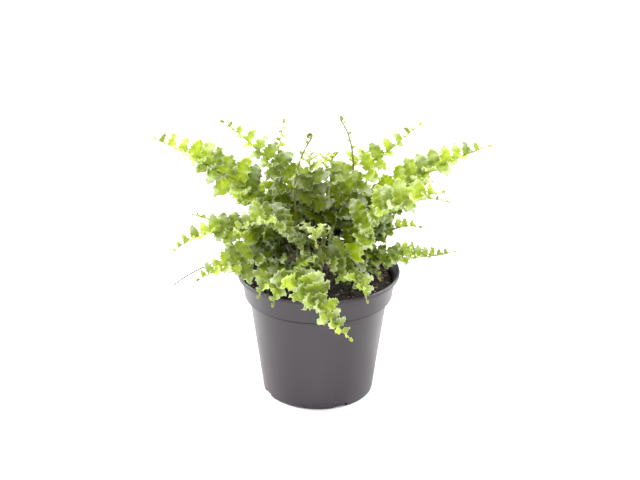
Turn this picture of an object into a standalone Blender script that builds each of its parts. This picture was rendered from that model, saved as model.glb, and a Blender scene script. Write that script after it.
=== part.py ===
"""A potted fluffy ruffles Boston fern: a tapered plastic nursery pot filled with
potting soil, and a clump of ruffled, once-divided fronds that arch out of it.

Every frond is one closed solid: a bare stem that stands in its own hole in the
soil, a square rib that thins towards the tip, and rows of thin, twisted leaflets
grown out of the rib's two sides. Lengths are in millimetres here, and the meshes
are made in metres. +Z is up, the pot's axis is the Z axis, and the pot stands on
the plane Z = 0.
"""

import math
import random
from collections import namedtuple

import bmesh
import bpy
from mathutils import Matrix, Vector
from mathutils.bvhtree import BVHTree

METRES = 0.001
UP = Vector((0, 0, 1))

# The pot: a 12 cm nursery pot with a lip, a straight stacking collar and feet.
POT_SIDES = 32
POT_HEIGHT = 96.0
LIP_RADIUS = 60.0
LIP_HEIGHT = 3.6
LIP_INNER_RADIUS = 58.0
COLLAR_TOP_RADIUS = 56.8
COLLAR_BOTTOM_RADIUS = 54.8
COLLAR_BOTTOM_Z = 76.4
WALL_TOP_RADIUS = 51.2
BASE_RADIUS = 41.0
WALL = 1.2
EDGE = 0.8
BEND = 0.4
FOOT_HEIGHT = 3.0
FOOT_RING_WIDTH = 3.6
FOOT_BEVEL = (1.2, 1.4)
FLOOR_Z = FOOT_HEIGHT + WALL
GATE_PAD_RADIUS = 7.0
NOTCH_COUNT = 8
DRAIN_COUNT = 4
NOTCH_AZIMUTH = 294.0
WIDE_NOTCH = (11.0, FOOT_HEIGHT)
SLIM_NOTCH = (9.0, 1.2)
DRAIN_RADIUS = 3.6
DRAIN_RING = 27.0
DRAIN_SIDES = 8
SHARP_ANGLE = 32.0

# The soil fills the pot to 8 mm under its lip. Its ripples are radians to the mm.
SOIL_GAP = 0.35
SOIL_TOP = 88.0
SOIL_BUMP = 0.9
SOIL_LEVEL_RADIUS = 40.0
SOIL_RING_RADIUS = 44.0
SOIL_EDGE = 1.0
RIPPLE = (0.31, 0.27)
RIPPLE_START = 1.3
SWELL = (0.17, 0.41)
SWELL_SHARE = 0.6
STEM_BURIED = 12.0
STEM_HOLE_RADIUS = 1.75
STEM_HOLE_SIDES = 5
STEM_NECK = 1.2

# The fronds. A leaflet is at least 0.64 mm thick, and the rib thins along its run.
# A leaflet that is shortened to find room keeps more of its width, by WIDTH_KEPT.
STEM_HALF = 0.8
RIB_TIP_HALF = 0.42
TIP_LENGTH = 3.4
TIP_HALF = 1.1
TIP_WIDEST_AT = 0.45
LEAFLET_HALF = 0.32
LEAFLET_FORWARD = 16.0
LEAFLET_TILT = -21.0
LEAFLET_LIFT = 8.0
TIP_LIFT = 58.0
LEAFLET_ROOM = 0.35
LEAFLET_SHORTEST = 3.6
LEAFLET_WIDEST = 13.0
LENGTH_SPREAD = (0.86, 1.1)
WIDTH_TO_LENGTH = 0.62
WIDTH_TO_PITCH = 1.5
LIFT_SPREAD = (-10, 10)
TILT_SPREAD = (-8, 8)
FORWARD_SPREAD = (-7, 9)
WAVE_SPREAD = (0.06, 0.12)
FIRST_LENGTH = 0.78
LENGTH_RISE = 1.1
TAPER_END = 1.04
TAPER_POWER = 0.65
TWO_ROWS_FROM = 8.5
THREE_ROWS_FROM = 24.0
FIRST_PITCH = 1.25
PITCH_DROP = 0.35
PITCH_REST = 0.5
ROOT_TO_PITCH = 0.42
ROOT_WIDEST = 4.2
ROOT_START = 0.2
STAGGER = 0.5
DROOP = 0.14
ROW_SHARES = {1: [0.5], 2: [0.34, 0.74], 3: [0.26, 0.54, 0.82]}
ROW_WIDTHS = {1: [1.0], 2: [1.05, 0.72], 3: [1.1, 0.92, 0.68]}
SPINE_SAMPLES = 160
ROLLED_SHARE = 0.6
NEIGHBOURS = 8
SMALL_TURNS = (0, 12, -12, 24, -24)
LARGE_TURNS = SMALL_TURNS + (36, -36, 50, -50)
SHORTENINGS = [(1.0, SMALL_TURNS), (0.84, SMALL_TURNS), (0.7, SMALL_TURNS), (0.56, LARGE_TURNS)]
SHORTENINGS += [(0.42, LARGE_TURNS), (0.3, LARGE_TURNS), (0.2, LARGE_TURNS)]
WIDTH_KEPT = 0.15
STEM_PIECES = 4
TUBE_PIECES = 24
RUNNER_PIECES = 16
CURL_STEPS = 40
SEED = 11

# Each finish is a colour and a roughness.
PLASTIC = ((0.165, 0.145, 0.155), 0.45)
PEAT = ((0.035, 0.022, 0.016), 0.95)
LEAF_GREEN = ((0.34, 0.47, 0.06), 0.5)
RUNNER_BROWN = ((0.25, 0.2, 0.12), 0.6)

# Leaflets keep this far from the lip, the collar's inside and the soil.
LIP_CLEARANCE = 1.0
COLLAR_CLEARANCE = 3.5
SOIL_CLEARANCE = 2.2

# azimuth: the way the frond leans, in degrees from +X. crown, ring: the plantlet
# and the distance from its middle where the stem stands. reach, rise: how far out
# and up the tip is. lean: the stem's angle from upright. pitch: the tip's angle
# above level. sweep: the sideways bow, to the frond's left. roll: the outer blade's
# turn about its rib. leaflet: the longest leaflet. pairs: leaflet pairs. bare: the
# share of the spine with no leaflets. arch: how far the two ends hold their direction.
# tip_sweep: the tip's own bow, where it isn't the same as sweep. fold: how far both
# rows of leaflets are raised towards each other.
Frond = namedtuple(
    "Frond",
    "name azimuth crown ring reach rise lean pitch sweep roll leaflet pairs bare arch tip_sweep fold",
    defaults=[0.38, None, 0],
)
CROWNS = {
    "main": (0, 0), "side": (37, 1), "edge": (28, -9), "right": (25, 11),
    "left": (-14, 8), "back": (22, 23), "behind": (-24, 28),
    "front": (-5, -13), "front_left": (-15, -20), "lace": (23, 4), "lace_low": (27, -2),
}
FRONDS = [
    Frond("frond_left_high", 172, "main", 11, 109, 102, 22, 24, -5, 30, 33, 12, 0.22),
    Frond("frond_right_long", 4, "main", 12, 110, 101, 26, 20, 3, -30, 27, 12, 0.26),
    Frond("frond_right_top", 24, "main", 9, 71, 109, -8, 36, 4, -26, 23, 9, 0.28),
    Frond("frond_left_top", 150, "main", 7, 75, 107, 5, 30, -8, 20, 24, 9, 0.30),
    Frond("frond_front_drape", 294, "front", 0, 67, -13, 11, -56, -41, -6, 26, 11, 0.16, 0.52, -25, -4),
    Frond("frond_right_mid", 340, "main", 9, 83, 81, 28, 15, -3, -38, 32, 10, 0.26),
    Frond("frond_left_mid", 190, "main", 14, 91, 30, 12, -32, -10, 30, 24, 11, 0.18),
    Frond("frond_right_low", 346, "main", 20, 80, 32, 34, 22, 0, -16, 15, 10, 0.26),
    Frond("frond_left_low", 207, "main", 17, 78, 18, 30, -18, -2, 30, 26, 9, 0.16),
    Frond("frond_rim_left", 246, "front_left", 0, 41, 6, 12, -54, 0, 0, 21, 7, 0.2),
    Frond("frond_cross", 206, "side", 0, 54, 19, -14, -10, 8, 40, 23, 9, 0.34, 0.5),
    Frond("frond_front_left", 234, "main", 16, 55, 12, 24, -34, -4, 10, 24, 7, 0.22),
    Frond("frond_front_right", 303, "main", 16, 47, 7, 10, -40, 4, 0, 19, 7, 0.36),
    Frond("frond_left_inner", 209, "main", 7, 60, 50, 8, -34, 0, 24, 32, 8, 0.22),
    Frond("frond_right_fine", 356, "main", 17, 75, 64, 44, -12, 8, -20, 13, 9, 0.34),
    Frond("frond_lace_high", 357, "lace", 0, 50, 41, 34, -6, 3, -14, 15, 8, 0.28),
    Frond("frond_lace_low", 352, "lace_low", 0, 50, 27, 38, -4, -3, -10, 15, 8, 0.26),
    Frond("frond_left_small", 163, "main", 19, 79, 38, 44, 2, 5, 16, 16, 8, 0.34),
    Frond("frond_top_left", 100, "main", 9, 34, 80, 8, -20, 4, 0, 25, 7, 0.34),
    Frond("frond_top_mid", 76, "main", 7, 40, 80, 6, -26, -4, 0, 22, 6, 0.36),
    Frond("frond_top_right", 50, "main", 12, 46, 84, 4, 10, 2, -10, 24, 7, 0.34),
    Frond("frond_back_young", 100, "behind", 0, 14, 107, 30, 76, 10, 10, 12, 8, 0.44),
    Frond("frond_centre", 268, "main", 8, 38, 46, 6, -44, -3, 0, 24, 7, 0.22),
    Frond("frond_edge", 322, "edge", 0, 20, 10, 10, -34, 4, 0, 11, 5, 0.34),
    Frond("frond_rim", 352, "right", 0, 34, 13, 10, -20, 4, -24, 14, 6, 0.36),
    Frond("frond_back_right", 30, "main", 17, 80, 58, 32, 0, -6, -8, 27, 8, 0.2),
    Frond("frond_back_far", 58, "main", 18, 76, 40, 32, -20, 4, -6, 26, 8, 0.2),
    Frond("frond_back_mid", 88, "main", 15, 86, 58, 22, -6, -5, 0, 28, 8, 0.2),
    Frond("frond_back_low", 112, "main", 18, 76, 34, 34, -24, 4, 6, 26, 8, 0.2),
    Frond("frond_back_left", 146, "main", 20, 81, 60, 30, -4, -6, 8, 27, 8, 0.2),
    Frond("frond_young_left", 20, "left", 0, 9, 106, 2, 54, 0, 0, 3.8, 6, 0.5),
    Frond("frond_young_right", 110, "back", 0, 18, 109, 15, 14, -3, 0, 4.6, 5, 0.56),
]
CURLED = {"frond_young_left": 1.1, "frond_young_right": 0.9}
CURL_RADIUS = 2.3
RUNNER = Frond("runner", 197, "main", 21, 88, 8, 30, -30, -6, 0, 0, 0, 1.0)
RUNNER_HALF = 0.4


def clear_scene():
    for obj in list(bpy.data.objects):
        bpy.data.objects.remove(obj)


def material(name, colour, roughness):
    """A plain finish: one colour and one roughness, no metal."""
    made = bpy.data.materials.new(name)
    made.use_nodes = True
    shader = made.node_tree.nodes["Principled BSDF"]
    shader.inputs["Base Color"].default_value = (*colour, 1)
    shader.inputs["Roughness"].default_value = roughness
    shader.inputs["Metallic"].default_value = 0
    return made


def object_from(name, bm, finish):
    """Turns a bmesh in millimetres into an object in metres."""
    bmesh.ops.recalc_face_normals(bm, faces=bm.faces)
    bmesh.ops.scale(bm, vec=(METRES,) * 3, verts=bm.verts)
    mesh = bpy.data.meshes.new(name)
    bm.to_mesh(mesh)
    bm.free()
    if finish:
        mesh.materials.append(finish)
    obj = bpy.data.objects.new(name, mesh)
    bpy.context.scene.collection.objects.link(obj)
    return obj


def turned(profile):
    """A solid of revolution from (radius, height) points that start and end on the axis."""
    bm = bmesh.new()
    points = [bm.verts.new((r, 0, z)) for r, z in profile]
    edges = [bm.edges.new(pair) for pair in zip(points, points[1:])]
    bmesh.ops.spin(
        bm, geom=points + edges, cent=(0, 0, 0), axis=UP,
        angle=math.tau, steps=POT_SIDES, use_merge=True,
    )
    bmesh.ops.remove_doubles(bm, verts=bm.verts, dist=0.001)
    return bm


def polar(radius, azimuth, z=0.0):
    turn = math.radians(azimuth)
    return Vector((radius * math.cos(turn), radius * math.sin(turn), z))


def wall_radius(z):
    """The outer radius of the tapered wall under the collar."""
    return BASE_RADIUS + (WALL_TOP_RADIUS - BASE_RADIUS) * z / COLLAR_BOTTOM_Z


def pot_profile():
    foot_inner = BASE_RADIUS - FOOT_RING_WIDTH
    lip_bottom = POT_HEIGHT - LIP_HEIGHT
    return [
        (0, 0),
        (GATE_PAD_RADIUS, 0),
        (GATE_PAD_RADIUS + EDGE, FOOT_HEIGHT),
        (foot_inner - EDGE, FOOT_HEIGHT),
        (foot_inner, 0),
        (BASE_RADIUS - FOOT_BEVEL[0], 0),
        (BASE_RADIUS, FOOT_BEVEL[1]),
        (WALL_TOP_RADIUS, COLLAR_BOTTOM_Z - EDGE - BEND),
        (COLLAR_BOTTOM_RADIUS - EDGE, COLLAR_BOTTOM_Z - BEND),
        (COLLAR_BOTTOM_RADIUS, COLLAR_BOTTOM_Z + BEND),
        (COLLAR_TOP_RADIUS, lip_bottom - BEND),
        (LIP_RADIUS, lip_bottom + BEND),
        (LIP_RADIUS, POT_HEIGHT - EDGE),
        (LIP_RADIUS - EDGE, POT_HEIGHT),
        (LIP_INNER_RADIUS + BEND, POT_HEIGHT - BEND / 2),
        (COLLAR_TOP_RADIUS - WALL, lip_bottom - WALL),
        (COLLAR_BOTTOM_RADIUS - WALL, COLLAR_BOTTOM_Z + EDGE),
        (WALL_TOP_RADIUS - WALL, COLLAR_BOTTOM_Z - EDGE),
        (wall_radius(FLOOR_Z) - WALL, FLOOR_Z),
        (0, FLOOR_Z),
    ]


def pot_cutter():
    """The drain holes in the floor and the notches between the feet, as one cutter."""
    bm = bmesh.new()
    ring_middle = BASE_RADIUS - FOOT_RING_WIDTH / 2
    for index in range(NOTCH_COUNT):
        azimuth = NOTCH_AZIMUTH + index * 360 / NOTCH_COUNT
        width, height = SLIM_NOTCH if index % 2 else WIDE_NOTCH
        turn = Matrix.Rotation(math.radians(azimuth), 4, "Z")
        notch = Matrix.Translation((ring_middle, 0, 0))
        size = Matrix.Diagonal((FOOT_RING_WIDTH * 3, width, height * 2, 1))
        bmesh.ops.create_cube(bm, size=1, matrix=turn @ notch @ size)
    for index in range(DRAIN_COUNT):
        azimuth = NOTCH_AZIMUTH + index * 360 / DRAIN_COUNT
        turn = Matrix.Rotation(math.radians(azimuth), 4, "Z")
        bmesh.ops.create_cone(
            bm, cap_ends=True, segments=DRAIN_SIDES,
            radius1=DRAIN_RADIUS, radius2=DRAIN_RADIUS, depth=4 * FLOOR_Z,
            matrix=turn @ Matrix.Translation((DRAIN_RING, 0, FLOOR_Z)),
        )
    return bm


def cut(obj, cutter):
    """Takes the cutter, a bmesh, out of an object for good."""
    tool = object_from("cutter", cutter, None)
    hole = obj.modifiers.new("holes", "BOOLEAN")
    hole.operation = "DIFFERENCE"
    hole.object = tool
    bpy.context.view_layer.update()
    evaluated = obj.evaluated_get(bpy.context.evaluated_depsgraph_get())
    mesh = bpy.data.meshes.new_from_object(evaluated)
    obj.modifiers.clear()
    obj.data = mesh
    bpy.data.objects.remove(tool)


def make_pot(finish):
    pot = object_from("pot", turned(pot_profile()), finish)
    cut(pot, pot_cutter())
    pot.data.shade_smooth()
    pot.data.set_sharp_from_angle(angle=math.radians(SHARP_ANGLE))
    return pot


def soil_height(x, y):
    """Crumbly ground: a low swell of crossed waves, level round the crown."""
    wave = math.sin(x * RIPPLE[0] + RIPPLE_START) * math.cos(y * RIPPLE[1])
    wave += SWELL_SHARE * math.sin(x * SWELL[0] - y * SWELL[1])
    away = min(1.0, math.hypot(x, y) / SOIL_LEVEL_RADIUS)
    return SOIL_TOP + SOIL_BUMP * away * wave


def make_soil(finish, feet):
    """The soil fills the pot, with a plain hole for every stem."""
    collar_bottom = COLLAR_BOTTOM_Z + EDGE + SOIL_EDGE
    collar_inner = COLLAR_BOTTOM_RADIUS - WALL - SOIL_GAP
    wall_inner = WALL_TOP_RADIUS - WALL - SOIL_GAP
    floor_inner = wall_radius(FLOOR_Z) - WALL - SOIL_GAP
    top_radius = collar_inner + SOIL_EDGE / 2
    rings = [top_radius - SOIL_EDGE, SOIL_RING_RADIUS]
    profile = [(0, FLOOR_Z + SOIL_GAP), (floor_inner, FLOOR_Z + SOIL_GAP)]
    profile += [(wall_inner, COLLAR_BOTTOM_Z - EDGE / 2), (collar_inner, collar_bottom)]
    profile += [(top_radius, SOIL_TOP - SOIL_EDGE)]
    profile += [(radius, SOIL_TOP) for radius in rings] + [(0, SOIL_TOP)]
    bm = turned(profile)
    for vert in bm.verts:
        if vert.co.z > SOIL_TOP - SOIL_EDGE / 2:
            vert.co.z = soil_height(vert.co.x, vert.co.y)
    soil = object_from("soil", bm, finish)
    holes = bmesh.new()
    depth = 2 * (STEM_BURIED + SOIL_EDGE)
    for foot in feet:
        bmesh.ops.create_cone(
            holes, cap_ends=True, segments=STEM_HOLE_SIDES,
            radius1=STEM_HOLE_RADIUS, radius2=STEM_HOLE_RADIUS, depth=depth,
            matrix=Matrix.Translation((foot.x, foot.y, SOIL_TOP)),
        )
    cut(soil, holes)
    return soil


class Spine:
    """The line that a frond's rib follows, read by the distance along it."""

    def __init__(self, frond):
        out = polar(1, frond.azimuth)
        self.side = Vector((-out.y, out.x, 0))
        crown = Vector((*CROWNS[frond.crown], 0))
        foot = crown + out * frond.ring + UP * (SOIL_TOP + STEM_NECK)
        tip = foot + out * frond.reach + UP * (frond.rise - STEM_NECK)
        handle = (tip - foot).length * frond.arch
        lean, pitch = math.radians(frond.lean), math.radians(frond.pitch)
        bow = self.side * frond.sweep
        tip_bow = bow if frond.tip_sweep is None else self.side * frond.tip_sweep
        start = out * math.sin(lean) + UP * math.cos(lean)
        end = out * math.cos(pitch) + UP * math.sin(pitch)
        controls = [foot, foot + start * handle + bow, tip - end * handle + tip_bow, tip]
        steps = [i / SPINE_SAMPLES for i in range(SPINE_SAMPLES + 1)]
        self.points = [bezier(controls, t) for t in steps]
        if frond.name in CURLED:
            self.points += self.curl(CURLED[frond.name])
        self.lengths = [0.0]
        for a, b in zip(self.points, self.points[1:]):
            self.lengths.append(self.lengths[-1] + (b - a).length)
        self.length = self.lengths[-1]
        self.foot = foot
        self.roll = math.radians(frond.roll)

    def curl(self, turns):
        """The coiled tip of a young frond, wound towards the frond's upper side."""
        tip, before = self.points[-1], self.points[-2]
        along = (tip - before).normalized()
        inward = along.cross(self.side).normalized()
        centre = tip + inward * CURL_RADIUS
        made = []
        for i in range(1, CURL_STEPS + 1):
            wound = i / CURL_STEPS
            turn = wound * turns * math.tau
            radius = CURL_RADIUS * (1 - wound / 2)
            made.append(centre + (along * math.sin(turn) - inward * math.cos(turn)) * radius)
        return made

    def at(self, distance):
        """(point, along, side, normal) at this distance; the normal is the upper side."""
        distance = min(max(distance, 0), self.length)
        low = 0
        high = len(self.lengths) - 2
        while low < high:
            middle = (low + high + 1) // 2
            if self.lengths[middle] <= distance:
                low = middle
            else:
                high = middle - 1
        step = self.lengths[low + 1] - self.lengths[low]
        share = (distance - self.lengths[low]) / step
        a, b = self.points[low], self.points[low + 1]
        along = (b - a).normalized()
        side = (self.side - along * along.dot(self.side)).normalized()
        normal = along.cross(side)
        roll = self.roll * min(1, distance / self.length / ROLLED_SHARE)
        rolled = normal * math.cos(roll) + side * math.sin(roll)
        side = side * math.cos(roll) - normal * math.sin(roll)
        return a.lerp(b, share), along, side, rolled


def bezier(controls, t):
    points = controls
    while len(points) > 1:
        points = [a.lerp(b, t) for a, b in zip(points, points[1:])]
    return points[0]


def leaflet_length(frond, share):
    """Leaflets are longest near the foot of the blade and shorten to its tip."""
    rising = min(1.0, FIRST_LENGTH + LENGTH_RISE * share)
    return max(LEAFLET_SHORTEST, frond.leaflet * rising * (TAPER_END - share) ** TAPER_POWER)


def leaflet_rows(length):
    """Long leaflets have more points along their waved margins."""
    if length > THREE_ROWS_FROM:
        return 3
    return 2 if length > TWO_ROWS_FROM else 1


def leaflet_shape(spine, middle, sign, length, width, lift, tilt, forward, wave, rows):
    """The outer points of a leaflet, near margin and far margin in turn and then the
    tip, and its normal. The margins wave up and down in turn, the one against the
    other, and the tip bends down."""
    root, along, side, normal = spine.at(middle)
    axis = side * sign * math.cos(forward) + along * math.sin(forward)
    axis = axis * math.cos(lift) + normal * math.sin(lift)
    across = (along - axis * axis.dot(along)).normalized()
    face = across.cross(axis) if sign > 0 else axis.cross(across)
    turned_across = across * math.cos(tilt) + face * math.sin(tilt)
    face = face * math.cos(tilt) - across * math.sin(tilt)
    points = []
    for row in range(rows):
        share = ROW_SHARES[rows][row]
        half = turned_across * width * 0.5 * ROW_WIDTHS[rows][row]
        middle_line = root + axis * length * share - face * length * DROOP * share ** 2
        swing = face * wave * (1 if row % 2 else -1)
        points += [middle_line - half + swing, middle_line + half - swing]
    points.append(root + axis * length - face * length * DROOP)
    return points, face


def blade_faces(root, outer):
    """Triangles over one face of a leaflet, from its two root points to its tip."""
    rungs = [root] + list(zip(outer[:-1:2], outer[1:-1:2]))
    faces = []
    for (near, far), (next_near, next_far) in zip(rungs, rungs[1:]):
        faces += [(near, next_near, far), (next_near, next_far, far)]
    near, far = rungs[-1]
    return faces + [(near, outer[-1], far)]


def blade_rim(root, outer):
    """The outline's points from the near root point round the tip to the far one."""
    return [root[0], *outer[:-1:2], outer[-1], *outer[1:-1:2][::-1], root[1]]


def test_blade(roots, points, face):
    """The leaflet with some room round it, as vertices and triangles for a crossing test."""
    half = face * (LEAFLET_HALF + LEAFLET_ROOM)
    middle = roots + points
    verts = [p + half for p in middle] + [p - half for p in middle]
    count = len(middle)
    root, outer = (0, 1), tuple(range(2, count))
    faces = blade_faces(root, outer)
    faces += [tuple(i + count for i in f) for f in blade_faces(root, outer)]
    rim = blade_rim(root, outer)
    for a, b in zip(rim, rim[1:]):
        faces += [(a, b, b + count), (a, b + count, a + count)]
    return verts, faces


def in_pot_or_soil(point):
    """True where a leaflet would be in the soil, in the pot's wall or under the floor line."""
    radius = math.hypot(point.x, point.y)
    if point.z > POT_HEIGHT + LIP_CLEARANCE:
        return False
    if radius < LIP_INNER_RADIUS - COLLAR_CLEARANCE:
        return point.z < SOIL_TOP + SOIL_CLEARANCE
    return radius < LIP_RADIUS + LIP_CLEARANCE


class Crowd:
    """All that a new leaflet has to keep clear of: ribs, and the leaflets laid so far."""

    def __init__(self):
        self.verts = []
        self.faces = []
        self.owners = []
        self.tree = None

    def add(self, verts, faces, owner):
        start = len(self.verts)
        self.verts += verts
        self.faces += [tuple(i + start for i in f) for f in faces]
        self.owners += [owner] * len(faces)

    def freeze(self):
        self.tree = BVHTree.FromPolygons(self.verts, self.faces)

    def touches(self, tree, owner):
        hits = self.tree.overlap(tree)
        return any(self.owners[mine] != owner for mine, _ in hits)


def rib_half(spine, distance, thickest):
    share = distance / spine.length
    return thickest + (min(RIB_TIP_HALF, thickest) - thickest) * share


def rib_box(spine, distance_left, distance_right, thickest):
    """The rib's four corners: left top, left bottom, right top, right bottom."""
    corners = []
    for distance, sign in ((distance_left, 1), (distance_right, -1)):
        point, _, side, normal = spine.at(distance)
        half = rib_half(spine, distance, thickest)
        edge = point + side * sign * half
        corners += [edge + normal * half, edge - normal * half]
    return corners


def stations(frond, spine):
    """Where the rib's cross-sections lie, and which stretches carry a leaflet."""
    start = spine.length * frond.bare
    stem = [start * i / STEM_PIECES for i in range(STEM_PIECES)]
    blade = spine.length - start
    weights = [FIRST_PITCH - PITCH_DROP * k / (frond.pairs - 1) for k in range(frond.pairs)]
    scale = blade / (sum(weights) + PITCH_REST)
    cuts, place = [], start
    for weight in weights:
        pitch = weight * scale
        near = place + pitch * ROOT_START
        cuts.append((near, near + min(pitch * ROOT_TO_PITCH, ROOT_WIDEST), pitch))
        place += pitch
    return stem, cuts


class FrondMesh:
    """Builds one frond's closed surface, corner by corner."""

    def __init__(self):
        self.verts = []
        self.faces = []

    def add_points(self, points):
        start = len(self.verts)
        self.verts += points
        return list(range(start, start + len(points)))

    def quad(self, a, b, c, d):
        self.faces += [(a, b, c), (a, c, d)]

    def segment(self, one, two, left_open, right_open):
        """Joins two cross-sections, leaving a side open where a leaflet grows."""
        self.quad(one[0], one[2], two[2], two[0])
        self.quad(one[1], two[1], two[3], one[3])
        if not left_open:
            self.quad(one[0], two[0], two[1], one[1])
        if not right_open:
            self.quad(one[2], one[3], two[3], two[2])

    def leaflet(self, top_root, bottom_root, points, face):
        top = self.add_points([p + face * LEAFLET_HALF for p in points])
        bottom = self.add_points([p - face * LEAFLET_HALF for p in points])
        self.faces += blade_faces(top_root, top)
        self.faces += blade_faces(bottom_root, bottom)
        upper, lower = blade_rim(top_root, top), blade_rim(bottom_root, bottom)
        for i in range(len(upper) - 1):
            self.quad(upper[i], upper[i + 1], lower[i + 1], lower[i])

    def to_bmesh(self):
        bm = bmesh.new()
        verts = [bm.verts.new(p) for p in self.verts]
        for face in self.faces:
            bm.faces.new([verts[i] for i in face])
        return bm


def fitted_leaflet(frond, spine, crowd, own, roots, middle, share_out, sign, size, chance):
    """Turns or shortens a leaflet until it clears every other frond, as leaves do."""
    length, width = size
    lift = math.radians(LEAFLET_LIFT + frond.fold + TIP_LIFT * share_out ** 2 + chance.uniform(*LIFT_SPREAD))
    tilt = math.radians(LEAFLET_TILT + chance.uniform(*TILT_SPREAD))
    forward = math.radians(LEAFLET_FORWARD + chance.uniform(*FORWARD_SPREAD))
    wave = width * chance.uniform(*WAVE_SPREAD)
    for share, turns in SHORTENINGS:
        for turn in turns:
            short = length * share
            points, face = leaflet_shape(
                spine, middle, sign, short, width * min(1, share + WIDTH_KEPT),
                lift + math.radians(turn), tilt, forward, wave * share, leaflet_rows(short),
            )
            verts, faces = test_blade(roots, points, face)
            if any(in_pot_or_soil(p) for p in points):
                continue
            tree = BVHTree.FromPolygons(verts, faces)
            if not crowd.touches(tree, frond.name) and not any(
                tree.overlap(other) for other in own[-NEIGHBOURS:]
            ):
                own.append(tree)
                return points, face, (verts, faces)
    print(frond.name, "has a leaflet with no room at", round(middle), "mm")
    return points, face, (verts, faces)


def grow_frond(frond, spine, crowd, chance):
    mesh = FrondMesh()
    stem, cuts = stations(frond, spine)
    below = spine.foot - UP * (STEM_NECK + STEM_BURIED)
    _, _, side, normal = spine.at(0)
    flat = Vector((normal.x, normal.y, 0)).normalized()
    square = [side * s + flat * n for s in (1, -1) for n in (1, -1)]
    buried = mesh.add_points([below + corner * STEM_HALF for corner in square])
    neck = mesh.add_points([spine.foot + corner * STEM_HALF for corner in square])
    mesh.quad(buried[0], buried[1], buried[3], buried[2])
    mesh.segment(buried, neck, False, False)
    last = neck
    for distance in stem[1:]:
        ring = mesh.add_points(rib_box(spine, distance, distance, STEM_HALF))
        mesh.segment(last, ring, False, False)
        last = ring
    own, laid = [], []
    blade_start = spine.length * frond.bare
    blade = spine.length - blade_start
    for near, far, pitch in cuts:
        stagger = pitch * STAGGER
        first = mesh.add_points(rib_box(spine, near, near + stagger, STEM_HALF))
        second = mesh.add_points(rib_box(spine, far, far + stagger, STEM_HALF))
        mesh.segment(last, first, False, False)
        mesh.segment(first, second, True, True)
        for sign, corner, shift in ((1, 0, 0), (-1, 2, stagger)):
            middle = (near + far) / 2 + shift
            share = (middle - blade_start) / blade
            length = leaflet_length(frond, share) * chance.uniform(*LENGTH_SPREAD)
            width = min(length * WIDTH_TO_LENGTH, pitch * WIDTH_TO_PITCH, LEAFLET_WIDEST)
            top = (first[corner], second[corner])
            bottom = (first[corner + 1], second[corner + 1])
            roots = [(mesh.verts[a] + mesh.verts[b]) / 2 for a, b in zip(top, bottom)]
            points, face, tested = fitted_leaflet(
                frond, spine, crowd, own, roots, middle, share, sign, (length, width), chance
            )
            mesh.leaflet(top, bottom, points, face)
            laid.append(tested)
        last = second
    finish_tip(mesh, spine, last)
    for verts, faces in laid:
        crowd.add(verts, faces, frond.name)
    crowd.freeze()
    return mesh


def finish_tip(mesh, spine, last):
    """A small pointed leaflet ends the rib, or its plain end on a coiled tip."""
    ring = mesh.add_points(rib_box(spine, spine.length, spine.length, STEM_HALF))
    mesh.segment(last, ring, False, False)
    point, along, side, normal = spine.at(spine.length)
    thin = normal * RIB_TIP_HALF
    middle = point + along * TIP_LENGTH * TIP_WIDEST_AT
    last = mesh.add_points([middle + side * TIP_HALF * s + thin * n for s in (1, -1) for n in (1, -1)])
    mesh.segment(ring, last, False, False)
    tips = mesh.add_points([point + along * TIP_LENGTH + thin * n for n in (1, -1)])
    mesh.faces += [(last[0], last[2], tips[0]), (last[1], tips[1], last[3])]
    mesh.quad(last[0], tips[0], tips[1], last[1])
    mesh.quad(last[2], last[3], tips[1], tips[0])


def tube_surface(spine, thickest):
    """A rib and its tip with room round them, for the crossing test."""
    verts, faces = [], []
    for i in range(TUBE_PIECES + 1):
        distance = spine.length * i / TUBE_PIECES
        verts += rib_box(spine, distance, distance, thickest + LEAFLET_ROOM)
    point, along, side, normal = spine.at(spine.length)
    end = point + along * (TIP_LENGTH + LEAFLET_ROOM)
    wide, deep = side * (TIP_HALF + LEAFLET_ROOM), normal * (RIB_TIP_HALF + LEAFLET_ROOM)
    verts += [end + wide * s + deep * n for s in (1, -1) for n in (1, -1)]
    for i in range(TUBE_PIECES + 1):
        a, b = i * 4, i * 4 + 4
        for u, v in ((0, 2), (2, 3), (3, 1), (1, 0)):
            faces += [(a + u, a + v, b + v), (a + u, b + v, b + u)]
    return verts, faces


def make_runner(spine, finish):
    """A wiry runner: a thin square thread that climbs over the lip and hangs outside."""
    mesh = FrondMesh()
    below = spine.foot - UP * (STEM_NECK + STEM_BURIED)
    out = Vector((-spine.side.y, spine.side.x, 0))
    square = [spine.side * s + out * n for s in (1, -1) for n in (1, -1)]
    last = mesh.add_points([below + corner * RUNNER_HALF for corner in square])
    mesh.quad(last[0], last[1], last[3], last[2])
    for i in range(RUNNER_PIECES + 1):
        distance = spine.length * i / RUNNER_PIECES
        ring = mesh.add_points(rib_box(spine, distance, distance, RUNNER_HALF))
        mesh.segment(last, ring, False, False)
        last = ring
    mesh.quad(last[0], last[2], last[3], last[1])
    return object_from("runner", mesh.to_bmesh(), finish)


def main():
    clear_scene()
    plastic = material("grey_plastic", *PLASTIC)
    peat = material("potting_soil", *PEAT)
    green = material("leaf_green", *LEAF_GREEN)
    thread = material("runner_brown", *RUNNER_BROWN)
    spines = {frond.name: Spine(frond) for frond in FRONDS}
    runner_spine = Spine(RUNNER)
    make_pot(plastic)
    feet = [spine.foot for spine in spines.values()] + [runner_spine.foot]
    make_soil(peat, feet)
    crowd = Crowd()
    for name, spine in spines.items():
        crowd.add(*tube_surface(spine, STEM_HALF), name)
    crowd.add(*tube_surface(runner_spine, RUNNER_HALF), "runner")
    crowd.freeze()
    chance = random.Random(SEED)
    for frond in FRONDS:
        mesh = grow_frond(frond, spines[frond.name], crowd, chance)
        object_from(frond.name, mesh.to_bmesh(), green)
    make_runner(runner_spine, thread)


main()
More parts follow.
